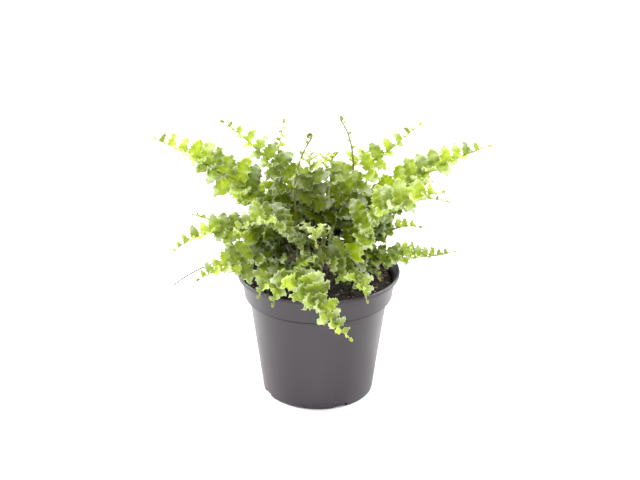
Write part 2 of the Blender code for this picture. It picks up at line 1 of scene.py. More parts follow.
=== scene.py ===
# %% [markdown]
# # A potted ruffled fern, dressed around its solid model
#
# The solid model holds every piece at its real size: a tapered nursery pot, its soil,
# 32 fronds and a wiry runner. This lesson dresses it. The fronds get thin leaflets
# with ruffled, toothed edges, the pot gets its smooth moulded skin, and the soil gets
# crumbs and bark. Nothing here moves a solid piece: each new piece stands where the
# solid one is and takes its place in the picture.

# %% Load the solid model as a fixed frame
import math
import random
from collections import namedtuple

import bmesh
import bpy
from mathutils import Matrix, Vector, noise
from mathutils.bvhtree import BVHTree


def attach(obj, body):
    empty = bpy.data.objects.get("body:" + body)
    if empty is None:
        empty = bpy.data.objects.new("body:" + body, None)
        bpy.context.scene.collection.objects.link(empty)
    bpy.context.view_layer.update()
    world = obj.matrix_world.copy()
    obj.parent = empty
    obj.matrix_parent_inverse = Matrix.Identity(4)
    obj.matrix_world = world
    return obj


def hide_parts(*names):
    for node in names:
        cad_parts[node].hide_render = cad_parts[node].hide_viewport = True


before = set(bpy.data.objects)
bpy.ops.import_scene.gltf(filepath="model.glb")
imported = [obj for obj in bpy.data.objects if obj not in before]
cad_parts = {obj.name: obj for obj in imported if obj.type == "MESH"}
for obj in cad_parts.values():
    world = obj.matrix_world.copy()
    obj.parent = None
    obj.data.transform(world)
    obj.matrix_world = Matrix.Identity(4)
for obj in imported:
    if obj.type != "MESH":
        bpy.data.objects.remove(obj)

MM = 0.001
UP = Vector((0, 0, 1))
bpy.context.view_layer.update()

# %% [markdown]
# ## The camera
#
# The photograph looks down on the pot at about 23 degrees with a long lens, so the
# lip is a flat ellipse and the pot's sides hardly converge. The focal length is kept
# in pixels of the 640-pixel picture, which is how it was measured on the lip, the
# collar and the foot, and is turned into millimetres of a 36 mm sensor.

# %% Place the camera
IMAGE_WIDTH = 640
FOCAL_PIXELS = 1638.4
SENSOR_WIDTH = 36.0
CAMERA_ELEVATION = math.radians(22.66)
CAMERA_ROLL = 0.007
CAMERA_DISTANCE = 1.2
CAMERA_TARGET = Vector((0.0009, 0, 0.1187))


def place_object(name, data):
    placed = bpy.data.objects.new(name, data)
    bpy.context.scene.collection.objects.link(placed)
    return placed


def make_camera():
    data = bpy.data.cameras.new("camera")
    data.sensor_width = SENSOR_WIDTH
    data.lens = FOCAL_PIXELS / IMAGE_WIDTH * SENSOR_WIDTH
    camera = place_object("camera", data)
    back = Vector((0, -math.cos(CAMERA_ELEVATION), math.sin(CAMERA_ELEVATION)))
    place = Matrix.Translation(CAMERA_TARGET + back * CAMERA_DISTANCE)
    tilt = Matrix.Rotation(math.radians(90) - CAMERA_ELEVATION, 4, "X")
    camera.matrix_world = place @ tilt @ Matrix.Rotation(CAMERA_ROLL, 4, "Z")
    bpy.context.scene.camera = camera
    print("camera lens, mm:", round(data.lens, 1))


make_camera()

# %% [markdown]
# ## Short helpers for shader nodes
#
# Every finish below is a small graph of nodes. Spelling out each node takes many
# lines, so a few helpers feed a socket, add the common nodes, and give a shader its
# colour, roughness and relief.

# %% Helpers for the finishes


def feed(tree, socket, value):
    """Links an output to a socket, or gives the socket a value of its own."""
    if isinstance(value, bpy.types.NodeSocket):
        tree.links.new(value, socket)
    else:
        socket.default_value = value


def add_node(tree, kind, settings=None, **inputs):
    """Adds a node; each named input gets a plain value or the output that feeds it."""
    node = tree.nodes.new(kind)
    for name, value in (settings or {}).items():
        setattr(node, name, value)
    for name, value in inputs.items():
        feed(tree, node.inputs[name.replace("_", " ")], value)
    return node


def coordinates(tree, kind="Object"):
    return tree.nodes.new("ShaderNodeTexCoord").outputs[kind]


def attribute(tree, name):
    return add_node(tree, "ShaderNodeAttribute", {"attribute_name": name}).outputs["Fac"]


def speckle(tree, place, scale, detail):
    return add_node(tree, "ShaderNodeTexNoise", Vector=place, Scale=scale, Detail=detail).outputs["Fac"]


def blend_colours(tree, factor, one, two):
    node = add_node(tree, "ShaderNodeMix", {"data_type": "RGBA"})
    for index, value in ((0, factor), (6, one), (7, two)):
        feed(tree, node.inputs[index], (*value, 1) if isinstance(value, tuple) else value)
    return node.outputs[2]


def stretch(tree, value, low, high, to_low=0.0, to_high=1.0):
    """Maps low..high of a value to to_low..to_high, and holds the ends."""
    ends = {"From_Min": low, "From_Max": high, "To_Min": to_low, "To_Max": to_high}
    return add_node(tree, "ShaderNodeMapRange", Value=value, **ends).outputs["Result"]


def combine(tree, operation, one, two):
    node = add_node(tree, "ShaderNodeMath", {"operation": operation})
    for socket, value in zip(node.inputs, (one, two)):
        feed(tree, socket, value)
    return node.outputs[0]


def patches(tree, place, scale, detail, low, high):
    """Speckle with its contrast raised, as a mask."""
    return stretch(tree, speckle(tree, place, scale, detail), low, high)


def times(tree, one, two):
    return combine(tree, "MULTIPLY", one, two)


def away_from(tree, value, middle):
    """How far a value is from a middle one, to either side."""
    return combine(tree, "ABSOLUTE", combine(tree, "SUBTRACT", value, middle), 0)


def start_material(name):
    made = bpy.data.materials.new(name)
    made.use_nodes = True
    return made, made.node_tree, made.node_tree.nodes["Principled BSDF"]


def dress_shader(tree, shader, colour, roughness, relief, strength, depth):
    """Gives a shader its colour, roughness and relief, and returns the relief's normal."""
    bump = add_node(tree, "ShaderNodeBump", Height=relief, Strength=strength, Distance=depth)
    normal = bump.outputs["Normal"]
    for name, value in (("Base Color", colour), ("Roughness", roughness), ("Normal", normal)):
        feed(tree, shader.inputs[name], value)
    return normal


# %% [markdown]
# ## The floor and the light
#
# The plant stands on a flat white floor under soft light from all round. Leaves are thin,
# so much of their glow comes from behind: two wide panels stand behind the plant on
# the left and the right, and a broad one hangs above the front. The white sky, brighter
# overhead, fills the rest, and the picture keeps plain video colours so that white stays white.

# %% Build the floor, the panels and the sky
FLOOR_SIZE = 6.0
FLOOR_COLOUR = (0.86, 0.86, 0.86)
FLOOR_ROUGHNESS = 0.8
SKY_HORIZON = 0.35
SKY_ZENITH = 1.9
Panel = namedtuple("Panel", "name place aim width height power")
PANELS = [
    Panel("front_panel", (-0.35, -0.95, 1.15), (0, 0, 0.1), 0.9, 0.6, 6.0),
    Panel("left_panel", (-0.95, 0.35, 0.65), (0, 0, 0.14), 0.6, 0.9, 24.0),
    Panel("right_panel", (0.95, 0.35, 0.65), (0, 0, 0.14), 0.6, 0.9, 20.0),
]


def make_floor():
    bm = bmesh.new()
    bmesh.ops.create_grid(bm, x_segments=1, y_segments=1, size=FLOOR_SIZE / 2)
    mesh = bpy.data.meshes.new("floor")
    bm.to_mesh(mesh)
    bm.free()
    sweep, _, shader = start_material("white_sweep")
    shader.inputs["Base Color"].default_value = (*FLOOR_COLOUR, 1)
    shader.inputs["Roughness"].default_value = FLOOR_ROUGHNESS
    mesh.materials.append(sweep)
    floor = place_object("floor", mesh)


def make_panel(panel):
    data = bpy.data.lights.new(panel.name, "AREA")
    data.shape = "RECTANGLE"
    data.size = panel.width
    data.size_y = panel.height
    data.energy = panel.power
    lamp = place_object(panel.name, data)
    lamp.location = panel.place
    aim = Vector(panel.aim) - lamp.location
    lamp.rotation_euler = aim.to_track_quat("-Z", "Y").to_euler()


def make_sky():
    sky = bpy.data.worlds.new("sky")
    sky.use_nodes = True
    tree = sky.node_tree
    background = tree.nodes["Background"]
    background.inputs["Color"].default_value = (1, 1, 1, 1)
    way = add_node(tree, "ShaderNodeSeparateXYZ", Vector=coordinates(tree, "Generated"))
    glow = stretch(tree, way.outputs["Z"], 0.0, 1.0, SKY_HORIZON, SKY_ZENITH)
    tree.links.new(glow, background.inputs["Strength"])
    bpy.context.scene.world = sky


make_floor()
for panel in PANELS:
    make_panel(panel)
make_sky()
bpy.context.scene.view_settings.view_transform = "Standard"
print("light panels:", len(PANELS))

# %% [markdown]
# ## The leaf
#
# A fern leaflet is a fraction of a millimetre thick. Seen against the light it glows
# a strong yellow-green, and seen from the lit side it shows a pale sheen, which is
# painted into its colour. So the finish mixes two shaders: a satin surface, and a
# translucent one that lets the light behind come through. Five attributes of the mesh
# steer the colour: each leaflet's own tone, how near its edge a point is (for a painted
# pale rim light), how near the frond's tip it is, how deep in the clump it grows (for
# painted shade), and which face is its upper one (for the painted sheen). The veins
# follow its UV map.

# %% The leaf's finish
LEAF_VALUES = ("leaf_tone", "leaf_edge", "leaf_age", "leaf_depth", "leaf_upper")
LEAF_DEEP = (0.088, 0.135, 0.0003)
LEAF_FRESH = (0.31, 0.43, 0.002)
LEAF_YOUNG = (0.66, 0.73, 0.22)
# Pale: a painted sheen on the upper faces and a painted rim light at the edges, and also the midrib's
# own paler colour.
PALE_SHEEN_AND_MIDRIB = (0.82, 0.89, 0.6)
# Painted shade deep in the clump.
LEAF_SHADE = (0.04, 0.052, 0.0003)
LEAF_OLIVE = (0.3, 0.27, 0.09)
GLOW_DEEP = (0.38, 0.5, 0.001)
GLOW_FRESH = (0.84, 0.93, 0.06)
GLOW_SHARE = 0.5
TONE_SHARE = 0.55
TONE_RANGE = (0.25, 0.75)
# Patches of noise: scale, detail, and the stretch that becomes 0 to 1.
MOTTLE = (140.0, 2.0, 0.3, 0.7)
SHEEN_PATCHES = (75.0, 2.0, 0.46, 0.54)
# A reach is where a look comes in along a value, and its share at both ends.
SHEEN_REACH = (0.4, 0.78, 0.0, 0.85)
UPPER_SHEEN_REACH = (0.0, 1.0, 0.3, 1.0)
YOUNG_REACH = (0.1, 0.9, 0.0, 0.6)
OLIVE_REACH = (0.86, 1.0, 0.0, 0.55)
# Painted rim light: pale along a leaflet's edges and tip.
RIM_LIGHT_REACH = (0.62, 1.0, 0.0, 0.8)
SHADE_REACH = (0.0, 1.0, 0.0, 0.95)
VEINS_ALONG = 11.0
VEIN_SLANT = 4.5
VEIN_WIDTH = 0.1
VEIN_RELIEF = 0.5
MIDRIB_EDGES = (0.045, 0.015)
MIDRIB_SHARE = 0.2
LEAF_GRAIN = (900.0, 2.0)
GRAIN_RELIEF = 0.6
LEAF_RELIEF = (0.45, 0.0003)
LEAF_ROUGHNESS = (0.42, 0.56)
LEAF_GLOSS = 0.04


def leaf_veins(tree, split):
    """(side veins, midrib) as masks on the leaflet's UV map: X runs along, Y across."""
    across = away_from(tree, split.outputs["Y"], 0.5)
    phase = times(tree, split.outputs["X"], VEINS_ALONG)
    phase = combine(tree, "SUBTRACT", phase, times(tree, across, VEIN_SLANT))
    ridge = combine(tree, "PINGPONG", phase, 0.5)
    return stretch(tree, ridge, VEIN_WIDTH, 0.0), stretch(tree, across, *MIDRIB_EDGES)


def make_leaf_finish():
    leaf, tree, shader = start_material("fern_leaf")
    place = coordinates(tree)
    tone, edge, age, depth, upper = (attribute(tree, name) for name in LEAF_VALUES)
    uv = add_node(tree, "ShaderNodeUVMap", {"uv_map": "leaf_uv"}).outputs["UV"]
    split = add_node(tree, "ShaderNodeSeparateXYZ", Vector=uv)
    veins, midrib = leaf_veins(tree, split)
    mottle = patches(tree, place, *MOTTLE)
    fresh = combine(tree, "ADD", times(tree, tone, TONE_SHARE), times(tree, mottle, 1 - TONE_SHARE))
    fresh = stretch(tree, fresh, *TONE_RANGE)
    # Painted sheen: pale on the outer part of each leaflet's upper face, in patches.
    painted_sheen = stretch(tree, split.outputs["X"], *SHEEN_REACH)
    painted_sheen = times(tree, painted_sheen, patches(tree, place, *SHEEN_PATCHES))
    painted_sheen = times(tree, painted_sheen, stretch(tree, upper, *UPPER_SHEEN_REACH))
    # Painted shade deep in the clump darkens the colour and, below, the glow.
    shade = stretch(tree, depth, *SHADE_REACH)
    colour = blend_colours(tree, fresh, LEAF_DEEP, LEAF_FRESH)
    for share, tint in (
        (stretch(tree, age, *YOUNG_REACH), LEAF_YOUNG),
        (painted_sheen, PALE_SHEEN_AND_MIDRIB),
        # Painted rim light along the edges and tip.
        (stretch(tree, edge, *RIM_LIGHT_REACH), PALE_SHEEN_AND_MIDRIB),
        (times(tree, midrib, MIDRIB_SHARE), PALE_SHEEN_AND_MIDRIB),
        (stretch(tree, age, *OLIVE_REACH), LEAF_OLIVE),
        (shade, LEAF_SHADE),
    ):
        colour = blend_colours(tree, share, colour, tint)
    glow = blend_colours(tree, shade, blend_colours(tree, fresh, GLOW_DEEP, GLOW_FRESH), LEAF_SHADE)
    relief = combine(tree, "ADD", times(tree, veins, VEIN_RELIEF), midrib)
    grain = times(tree, speckle(tree, place, *LEAF_GRAIN), GRAIN_RELIEF)
    relief = combine(tree, "ADD", relief, grain)
    roughness = stretch(tree, mottle, 0.0, 1.0, *LEAF_ROUGHNESS)
    normal = dress_shader(tree, shader, colour, roughness, relief, *LEAF_RELIEF)
    shader.inputs["Specular IOR Level"].default_value = LEAF_GLOSS
    through = add_node(tree, "ShaderNodeBsdfTranslucent", Color=glow, Normal=normal)
    both = add_node(tree, "ShaderNodeMixShader", Fac=GLOW_SHARE)
    tree.links.new(shader.outputs["BSDF"], both.inputs[1])
    tree.links.new(through.outputs["BSDF"], both.inputs[2])
    tree.links.new(both.outputs["Shader"], tree.nodes["Material Output"].inputs["Surface"])
    return leaf


# %% [markdown]
# ## The rib
#
# The rib of a frond is a thin, wiry stalk. It is brown and scaly where it leaves the
# soil and pale green among the leaflets, so its colour follows the distance along it.
# The ribs of young fronds turn olive, and the runner stays greyish brown.

# %% The rib's finish
RIB_FOOT = (0.13, 0.085, 0.035)
RIB_GREEN = (0.33, 0.4, 0.1)
RIB_PALE = (0.5, 0.54, 0.24)
YOUNG_OLIVE = (0.14, 0.15, 0.02)
RUNNER_GREY = (0.1, 0.085, 0.06)
RUNNER_BROWN = (0.07, 0.05, 0.035)
SCALES = (1400.0, 2.0, 0.45, 0.65)
SCALE_SHARE = 0.35
FOOT_REACH = (0.02, 0.3)
TIP_REACH = (0.35, 0.9)
RIB_RELIEF = (0.4, 0.0002)
RIB_ROUGHNESS = 0.5


def make_rib_finish(name, foot, middle, tip):
    """A scaly stalk whose colour runs from its foot to its tip."""
    rib, tree, shader = start_material(name)
    age = attribute(tree, "leaf_age")
    scales = patches(tree, coordinates(tree), *SCALES)
    colour = blend_colours(tree, stretch(tree, age, *FOOT_REACH), foot, middle)
    colour = blend_colours(tree, stretch(tree, age, *TIP_REACH), colour, tip)
    colour = blend_colours(tree, times(tree, scales, SCALE_SHARE), colour, foot)
    dress_shader(tree, shader, colour, RIB_ROUGHNESS, scales, *RIB_RELIEF)
    return rib


FERN_LEAF = make_leaf_finish()
FERN_RIB = make_rib_finish("fern_rib", RIB_FOOT, RIB_GREEN, RIB_PALE)
YOUNG_RIB = make_rib_finish("young_rib", RIB_FOOT, YOUNG_OLIVE, YOUNG_OLIVE)
RUNNER_SKIN = make_rib_finish("runner_skin", RUNNER_BROWN, RUNNER_GREY, RUNNER_GREY)
print("leaf and rib finishes:", FERN_LEAF.name, FERN_RIB.name, YOUNG_RIB.name, RUNNER_SKIN.name)

# %% [markdown]
# ## From a bmesh to a finished piece
#
# All shapes are made in millimetres, which keeps the numbers readable, and scaled to
# metres at the end. A finished piece lies at the origin with its place in its mesh,
# rides on the plant's one body, and hides the solid piece that it stands for, where there is one.

# %% Finish a piece


def mesh_from(name, bm, materials):
    """A mesh in metres from a bmesh in millimetres."""
    bmesh.ops.scale(bm, vec=(MM,) * 3, verts=bm.verts)
    mesh = bpy.data.meshes.new(name)
    bm.to_mesh(mesh)
    bm.free()
    for finish in materials:
        mesh.materials.append(finish)
    return mesh


def finish_piece(name, mesh, nodes=()):
    piece = place_object(name, mesh)
    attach(piece, "root")
    if nodes:
        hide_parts(*nodes)
    print(name, "has", len(mesh.polygons), "faces")
    return piece


# %% [markdown]
# ## The pot
#
# A nursery pot is one thin injection-moulded shell: a tapered wall, a straight collar
# that lets pots stack, a rolled lip, and a foot ring with notches that lets water run
# out from under it. It is a solid of revolution, so its section is spun about the
# axis, its corners are softened with a bevel, and the drain holes and notches are cut
# afterwards with a Boolean.

# %% The pot's sizes, mm, as in the solid model
POT_SIDES = 144
POT_HEIGHT = 96.0
LIP_RADIUS = 60.0
LIP_HEIGHT = 3.6
LIP_INNER_RADIUS = 58.0
COLLAR_TOP_RADIUS = 56.8
COLLAR_BOTTOM_RADIUS = 54.8
COLLAR_BOTTOM_Z = 76.4
WALL_TOP_RADIUS = 51.2
BASE_RADIUS = 41.0
WALL = 1.2
EDGE = 0.8
BEND = 0.4
FOOT_HEIGHT = 3.0
FOOT_RING_WIDTH = 3.6
FOOT_BEVEL = (1.2, 1.4)
FLOOR_Z = FOOT_HEIGHT + WALL
GATE_PAD_RADIUS = 7.0
NOTCH_COUNT = 8
NOTCH_AZIMUTH = 294.0
WIDE_NOTCH = (11.0, FOOT_HEIGHT)
SLIM_NOTCH = (9.0, 1.2)
DRAIN_COUNT = 4
DRAIN_RADIUS = 3.6
DRAIN_RING = 27.0
DRAIN_SIDES = 32
CORNER_RADIUS = 0.3
CORNER_ANGLE = math.radians(18)
SHARP_ANGLE = math.radians(35)
MERGE_DISTANCE = 0.001

# %% Spin, bevel and cut the pot


def spun(profile, steps):
    """A closed solid of revolution from (radius, height) points that start and end on the axis."""
    bm = bmesh.new()
    points = [bm.verts.new((radius, 0, z)) for radius, z in profile]
    edges = [bm.edges.new(pair) for pair in zip(points, points[1:])]
    bmesh.ops.spin(
        bm, geom=points + edges, cent=(0, 0, 0), axis=UP,
        angle=math.tau, steps=steps, use_merge=True,
    )
    bmesh.ops.remove_doubles(bm, verts=bm.verts, dist=MERGE_DISTANCE)
    bmesh.ops.recalc_face_normals(bm, faces=bm.faces)
    return bm


def wall_radius(z):
    """The outer radius of the tapered wall under the collar."""
    return BASE_RADIUS + (WALL_TOP_RADIUS - BASE_RADIUS) * z / COLLAR_BOTTOM_Z


def pot_profile():
    foot_inner = BASE_RADIUS - FOOT_RING_WIDTH
    lip_bottom = POT_HEIGHT - LIP_HEIGHT
    return [
        (0, 0),
        (GATE_PAD_RADIUS, 0),
        (GATE_PAD_RADIUS + EDGE, FOOT_HEIGHT),
        (foot_inner - EDGE, FOOT_HEIGHT),
        (foot_inner, 0),
        (BASE_RADIUS - FOOT_BEVEL[0], 0),
        (BASE_RADIUS, FOOT_BEVEL[1]),
        (WALL_TOP_RADIUS, COLLAR_BOTTOM_Z - EDGE - BEND),
        (COLLAR_BOTTOM_RADIUS - EDGE, COLLAR_BOTTOM_Z - BEND),
        (COLLAR_BOTTOM_RADIUS, COLLAR_BOTTOM_Z + BEND),
        (COLLAR_TOP_RADIUS, lip_bottom - BEND),
        (LIP_RADIUS, lip_bottom + BEND),
        (LIP_RADIUS, POT_HEIGHT - EDGE),
        (LIP_RADIUS - EDGE, POT_HEIGHT),
        (LIP_INNER_RADIUS + BEND, POT_HEIGHT - BEND / 2),
        (COLLAR_TOP_RADIUS - WALL, lip_bottom - WALL),
        (COLLAR_BOTTOM_RADIUS - WALL, COLLAR_BOTTOM_Z + EDGE),
        (WALL_TOP_RADIUS - WALL, COLLAR_BOTTOM_Z - EDGE),
        (wall_radius(FLOOR_Z) - WALL, FLOOR_Z),
        (0, FLOOR_Z),
    ]


def soften(bm, edges, width, steps):
    bmesh.ops.bevel(
        bm, geom=edges, offset=width, offset_type="OFFSET", segments=steps,
        profile=0.5, affect="EDGES", material=-1, clamp_overlap=True,
    )


def around(index, count, radius, z):
    """The place of one of several even cuts round the pot's axis."""
    turn = Matrix.Rotation(math.radians(NOTCH_AZIMUTH + index * 360 / count), 4, "Z")
    return turn @ Matrix.Translation((radius, 0, z))


def pot_cutter():
    """The notches of the foot ring and the drain holes, each longer than its wall is thick."""
    bm = bmesh.new()
    ring_middle = BASE_RADIUS - FOOT_RING_WIDTH / 2
    for index in range(NOTCH_COUNT):
        width, height = SLIM_NOTCH if index % 2 else WIDE_NOTCH
        size = Matrix.Diagonal((FOOT_RING_WIDTH * 3, width, height * 2, 1))
        place = around(index, NOTCH_COUNT, ring_middle, 0)
        bmesh.ops.create_cube(bm, size=1, matrix=place @ size)
    for index in range(DRAIN_COUNT):
        bmesh.ops.create_cone(
            bm, cap_ends=True, segments=DRAIN_SIDES,
            radius1=DRAIN_RADIUS, radius2=DRAIN_RADIUS, depth=4 * FLOOR_Z,
            matrix=around(index, DRAIN_COUNT, DRAIN_RING, FLOOR_Z),
        )
    return bm


def cut_from(mesh, cutter_mesh):
    """The mesh with the cutter taken out of it for good."""
    body = place_object("uncut", mesh)
    tool = place_object("cutter", cutter_mesh)
    hole = body.modifiers.new("holes", "BOOLEAN")
    hole.operation = "DIFFERENCE"
    hole.object = tool
    bpy.context.view_layer.update()
    found = body.evaluated_get(bpy.context.evaluated_depsgraph_get())
    made = bpy.data.meshes.new_from_object(found)
    for obj in (body, tool):
        bpy.data.objects.remove(obj)
    return made


# %% [markdown]
# ## The pot's plastic
#
# The plastic is a warm, purplish grey with a satin moulded skin. A fine grain breaks
# up its gloss, broad faint clouds vary its shine, and handling leaves paler scuffs on
# the lip's edge and the foot. A fine line under the collar is painted shade, dark and
# without shine.

# %% The pot's finish
PLASTIC = (0.0245, 0.0165, 0.0228)
PLASTIC_DARK = (0.0192, 0.013, 0.0178)
# Painted shade in a fine line under the collar: its colour, then its height and half-width in mm.
STEP_PAINTED_SHADE = (0.003, 0.002, 0.003)
STEP_SHADE_LINE = (76.5, 1.0)
CLOUDS = (26.0, 3.0, 0.3, 0.7)
MOULD_GRAIN = (2600.0, 2.0)
SCRATCHES = (420.0, 4.0, 0.56, 0.72)
FOOT_WORN = 6.0
WORN_SHARE = 0.45
STEP_SHADE_GLOSS = (0.5, 0.0)
PLASTIC_RELIEF = (0.12, 0.0001)
PLASTIC_ROUGHNESS = (0.36, 0.46)
PLASTIC_SCUFF = (0.13, 0.118, 0.122)


def make_plastic_finish():
    plastic, tree, shader = start_material("pot_plastic")
    place = coordinates(tree)
    clouds = patches(tree, place, *CLOUDS)
    grain = speckle(tree, place, *MOULD_GRAIN)
    height = add_node(tree, "ShaderNodeSeparateXYZ", Vector=place).outputs["Z"]
    scratches = patches(tree, place, *SCRATCHES)
    lip = stretch(tree, height, (POT_HEIGHT - LIP_HEIGHT) * MM, POT_HEIGHT * MM)
    foot = stretch(tree, height, FOOT_WORN * MM, 0.0)
    worn = times(tree, combine(tree, "ADD", lip, foot), scratches)
    colour = blend_colours(tree, clouds, PLASTIC_DARK, PLASTIC)
    colour = blend_colours(tree, times(tree, worn, WORN_SHARE), colour, PLASTIC_SCUFF)
    # Painted shade: a fine dark line under the collar, where the shine is taken away too.
    step = stretch(tree, away_from(tree, height, STEP_SHADE_LINE[0] * MM), STEP_SHADE_LINE[1] * MM, 0.0)
    colour = blend_colours(tree, step, colour, STEP_PAINTED_SHADE)
    tree.links.new(stretch(tree, step, 0.0, 1.0, *STEP_SHADE_GLOSS), shader.inputs["Specular IOR Level"])
    roughness = stretch(tree, clouds, 0.0, 1.0, *PLASTIC_ROUGHNESS)
    dress_shader(tree, shader, colour, roughness, grain, *PLASTIC_RELIEF)
    return plastic


def make_pot():
    bm = spun(pot_profile(), POT_SIDES)
    corners = [e for e in bm.edges if e.is_manifold and e.calc_face_angle() > CORNER_ANGLE]
    soften(bm, corners, CORNER_RADIUS, 2)
    whole = mesh_from("whole_pot", bm, [make_plastic_finish()])
    mesh = cut_from(whole, mesh_from("pot_cutter", pot_cutter(), []))
    mesh.shade_smooth()
    mesh.set_sharp_from_angle(angle=SHARP_ANGLE)
    finish_piece("moulded_pot", mesh, ["pot"])


make_pot()

# %% [markdown]
# ## The soil
#
# Potting soil is dark peat with crumbs, fibres and bits of bark. The bed is a spun
# disc with many rings, whose top is raised and sunk by smooth noise. Loose crumbs on
# it are low icospheres with every point pushed about, and bark chips are small flat
# boxes. Most chips lie by the right wall, where the photograph shows them.

# %% The soil's sizes, mm, and its finish
SOIL_GAP = 0.35
SOIL_TOP = 88.0
SOIL_BUMP = 0.9
SOIL_LEVEL_RADIUS = 40.0
SOIL_EDGE = 1.0
RIPPLE = (0.31, 0.27)
RIPPLE_START = 1.3
SWELL = (0.17, 0.41)
SWELL_SHARE = 0.6
SOIL_SIDES = 132
SOIL_RINGS = 34
LUMP_SIZES = ((5.5, 0.9), (2.2, 0.45))
PEAT_DARK = (0.014, 0.009, 0.006)
PEAT = (0.034, 0.022, 0.015)
BARK_DARK = (0.05, 0.028, 0.018)
BARK_TAN = (0.36, 0.22, 0.16)
GRIT = (0.5, 0.45, 0.39)
PEAT_GRAIN = (900.0, 5.0)
PEAT_RANGE = (0.35, 0.68)
PEAT_RELIEF = (0.8, 0.0006)
PEAT_ROUGHNESS = 0.9
BARK_FIBRES = 0.3


def make_peat_finish(name, dark, light, fibres):
    """A rough, crumbly finish; fibres stretches its grain along one way."""
    peat, tree, shader = start_material(name)
    grain = add_node(tree, "ShaderNodeMapping", Vector=coordinates(tree), Scale=(1, fibres, fibres))
    fine = speckle(tree, grain.outputs[0], *PEAT_GRAIN)
    colour = blend_colours(tree, stretch(tree, fine, *PEAT_RANGE), dark, light)
    dress_shader(tree, shader, colour, PEAT_ROUGHNESS, fine, *PEAT_RELIEF)
    return peat


PEAT_FINISH = make_peat_finish("potting_peat", PEAT_DARK, PEAT, 1.0)
BARK_FINISH = make_peat_finish("bark_chip", BARK_DARK, BARK_TAN, BARK_FIBRES)
GRIT_FINISH = make_peat_finish("pale_grit", BARK_TAN, GRIT, 1.0)

# %% Shape the bed of soil


def soil_swell(x, y):
    wave = math.sin(x * RIPPLE[0] + RIPPLE_START) * math.cos(y * RIPPLE[1])
    wave += SWELL_SHARE * math.sin(x * SWELL[0] - y * SWELL[1])
    return SOIL_TOP + SOIL_BUMP * min(1.0, math.hypot(x, y) / SOIL_LEVEL_RADIUS) * wave


def soil_surface(x, y):
    """The height of the crumbly surface at a place."""
    z = soil_swell(x, y)
    for size, height in LUMP_SIZES:
        z += height * noise.noise(Vector((x / size, y / size, size)))
    return z


def make_soil_bed():
    collar_inner = COLLAR_BOTTOM_RADIUS - WALL - SOIL_GAP
    top_radius = collar_inner + SOIL_EDGE / 2
    profile = [(0, FLOOR_Z + SOIL_GAP), (wall_radius(FLOOR_Z) - WALL - SOIL_GAP, FLOOR_Z + SOIL_GAP)]
    profile += [(WALL_TOP_RADIUS - WALL - SOIL_GAP, COLLAR_BOTTOM_Z - EDGE / 2)]
    profile += [(collar_inner, COLLAR_BOTTOM_Z + EDGE + SOIL_EDGE), (top_radius, SOIL_TOP - SOIL_EDGE)]
    level = top_radius - SOIL_EDGE / 2
    profile += [(level * (1 - ring / SOIL_RINGS), SOIL_TOP) for ring in range(SOIL_RINGS + 1)]
    bm = spun(profile, SOIL_SIDES)
    for vert in bm.verts:
        if vert.co.z > SOIL_TOP - SOIL_EDGE / 2:
            vert.co.z = soil_surface(vert.co.x, vert.co.y)
    mesh = mesh_from("soil_bed", bm, [PEAT_FINISH])
    mesh.shade_smooth()
    finish_piece("soil_bed", mesh, ["soil"])


make_soil_bed()

# %% Scatter crumbs and chips on it
Scatter = namedtuple(
    "Scatter", "name finish boxes count lengths widths heights jitter heap spread share seed"
)
# lengths: mm. widths: shares of the length, and so are the heights, but a box's are mm.
# jitter: how far corners are pushed. heap, spread, share: where a share of the bits lies.
SCATTERS = [
    Scatter("soil_crumbs", PEAT_FINISH, False, 420, (0.7, 2.0), (0.6, 1), (0.5, 0.8), 0.28,
            (0, 0), 0, 0, 3),
    Scatter("soil_grit", GRIT_FINISH, False, 46, (0.4, 0.9), (0.6, 1), (0.5, 0.8), 0.28,
            (19.5, -31.0), 5.0, 0.35, 5),
    Scatter("bark_chips", BARK_FINISH, True, 50, (1.4, 4.4), (0.2, 0.55), (0.5, 1.0), 0.2,
            (44.0, 4.0), 7.0, 0.6, 7),
]
SCATTER_RADIUS = 51.0
TUMBLE_LEAN = 0.5
CHIP_BEVEL = 0.15


def scatter_spot(chance, scatter):
    """A place on the soil: near the heap for a share of the bits, anywhere for the rest."""
    if chance.random() < scatter.share:
        x, y = (middle + chance.gauss(0, scatter.spread) for middle in scatter.heap)
    else:
        radius = SCATTER_RADIUS * math.sqrt(chance.random())
        turn = chance.uniform(0, math.tau)
        x, y = radius * math.cos(turn), radius * math.sin(turn)
    far = math.hypot(x, y) / SCATTER_RADIUS
    if far > 1:
        x, y = x / far, y / far
    return Vector((x, y, soil_surface(x, y)))


def tumbled(chance, spot, size):
    """A random turn and size at a spot."""
    turn = Matrix.Rotation(chance.uniform(0, math.tau), 4, "Z")
    turn = turn @ Matrix.Rotation(chance.uniform(-TUMBLE_LEAN, TUMBLE_LEAN), 4, "Y")
    return Matrix.Translation(spot) @ turn @ Matrix.Diagonal((*size, 1))


def scatter_bits(scatter):
    chance = random.Random(scatter.seed)
    bm = bmesh.new()
    for _ in range(scatter.count):
        length = chance.uniform(*scatter.lengths)
        spot = scatter_spot(chance, scatter)
        width = length * chance.uniform(*scatter.widths)
        height = chance.uniform(*scatter.heights) * (1 if scatter.boxes else length)
        matrix = tumbled(chance, spot, (length, width, height))
        if scatter.boxes:
            bit = bmesh.ops.create_cube(bm, size=1.0, matrix=matrix)
        else:
            bit = bmesh.ops.create_icosphere(bm, subdivisions=1, radius=1.0, matrix=matrix)
        push = width if scatter.boxes else length
        for vert in bit["verts"]:
            vert.co += Vector([chance.uniform(-1, 1) for _ in range(3)]) * push * scatter.jitter
    if scatter.boxes:
        soften(bm, bm.edges, CHIP_BEVEL, 1)
    finish_piece(scatter.name, mesh_from(scatter.name, bm, [scatter.finish]))


for scatter in SCATTERS:
    scatter_bits(scatter)

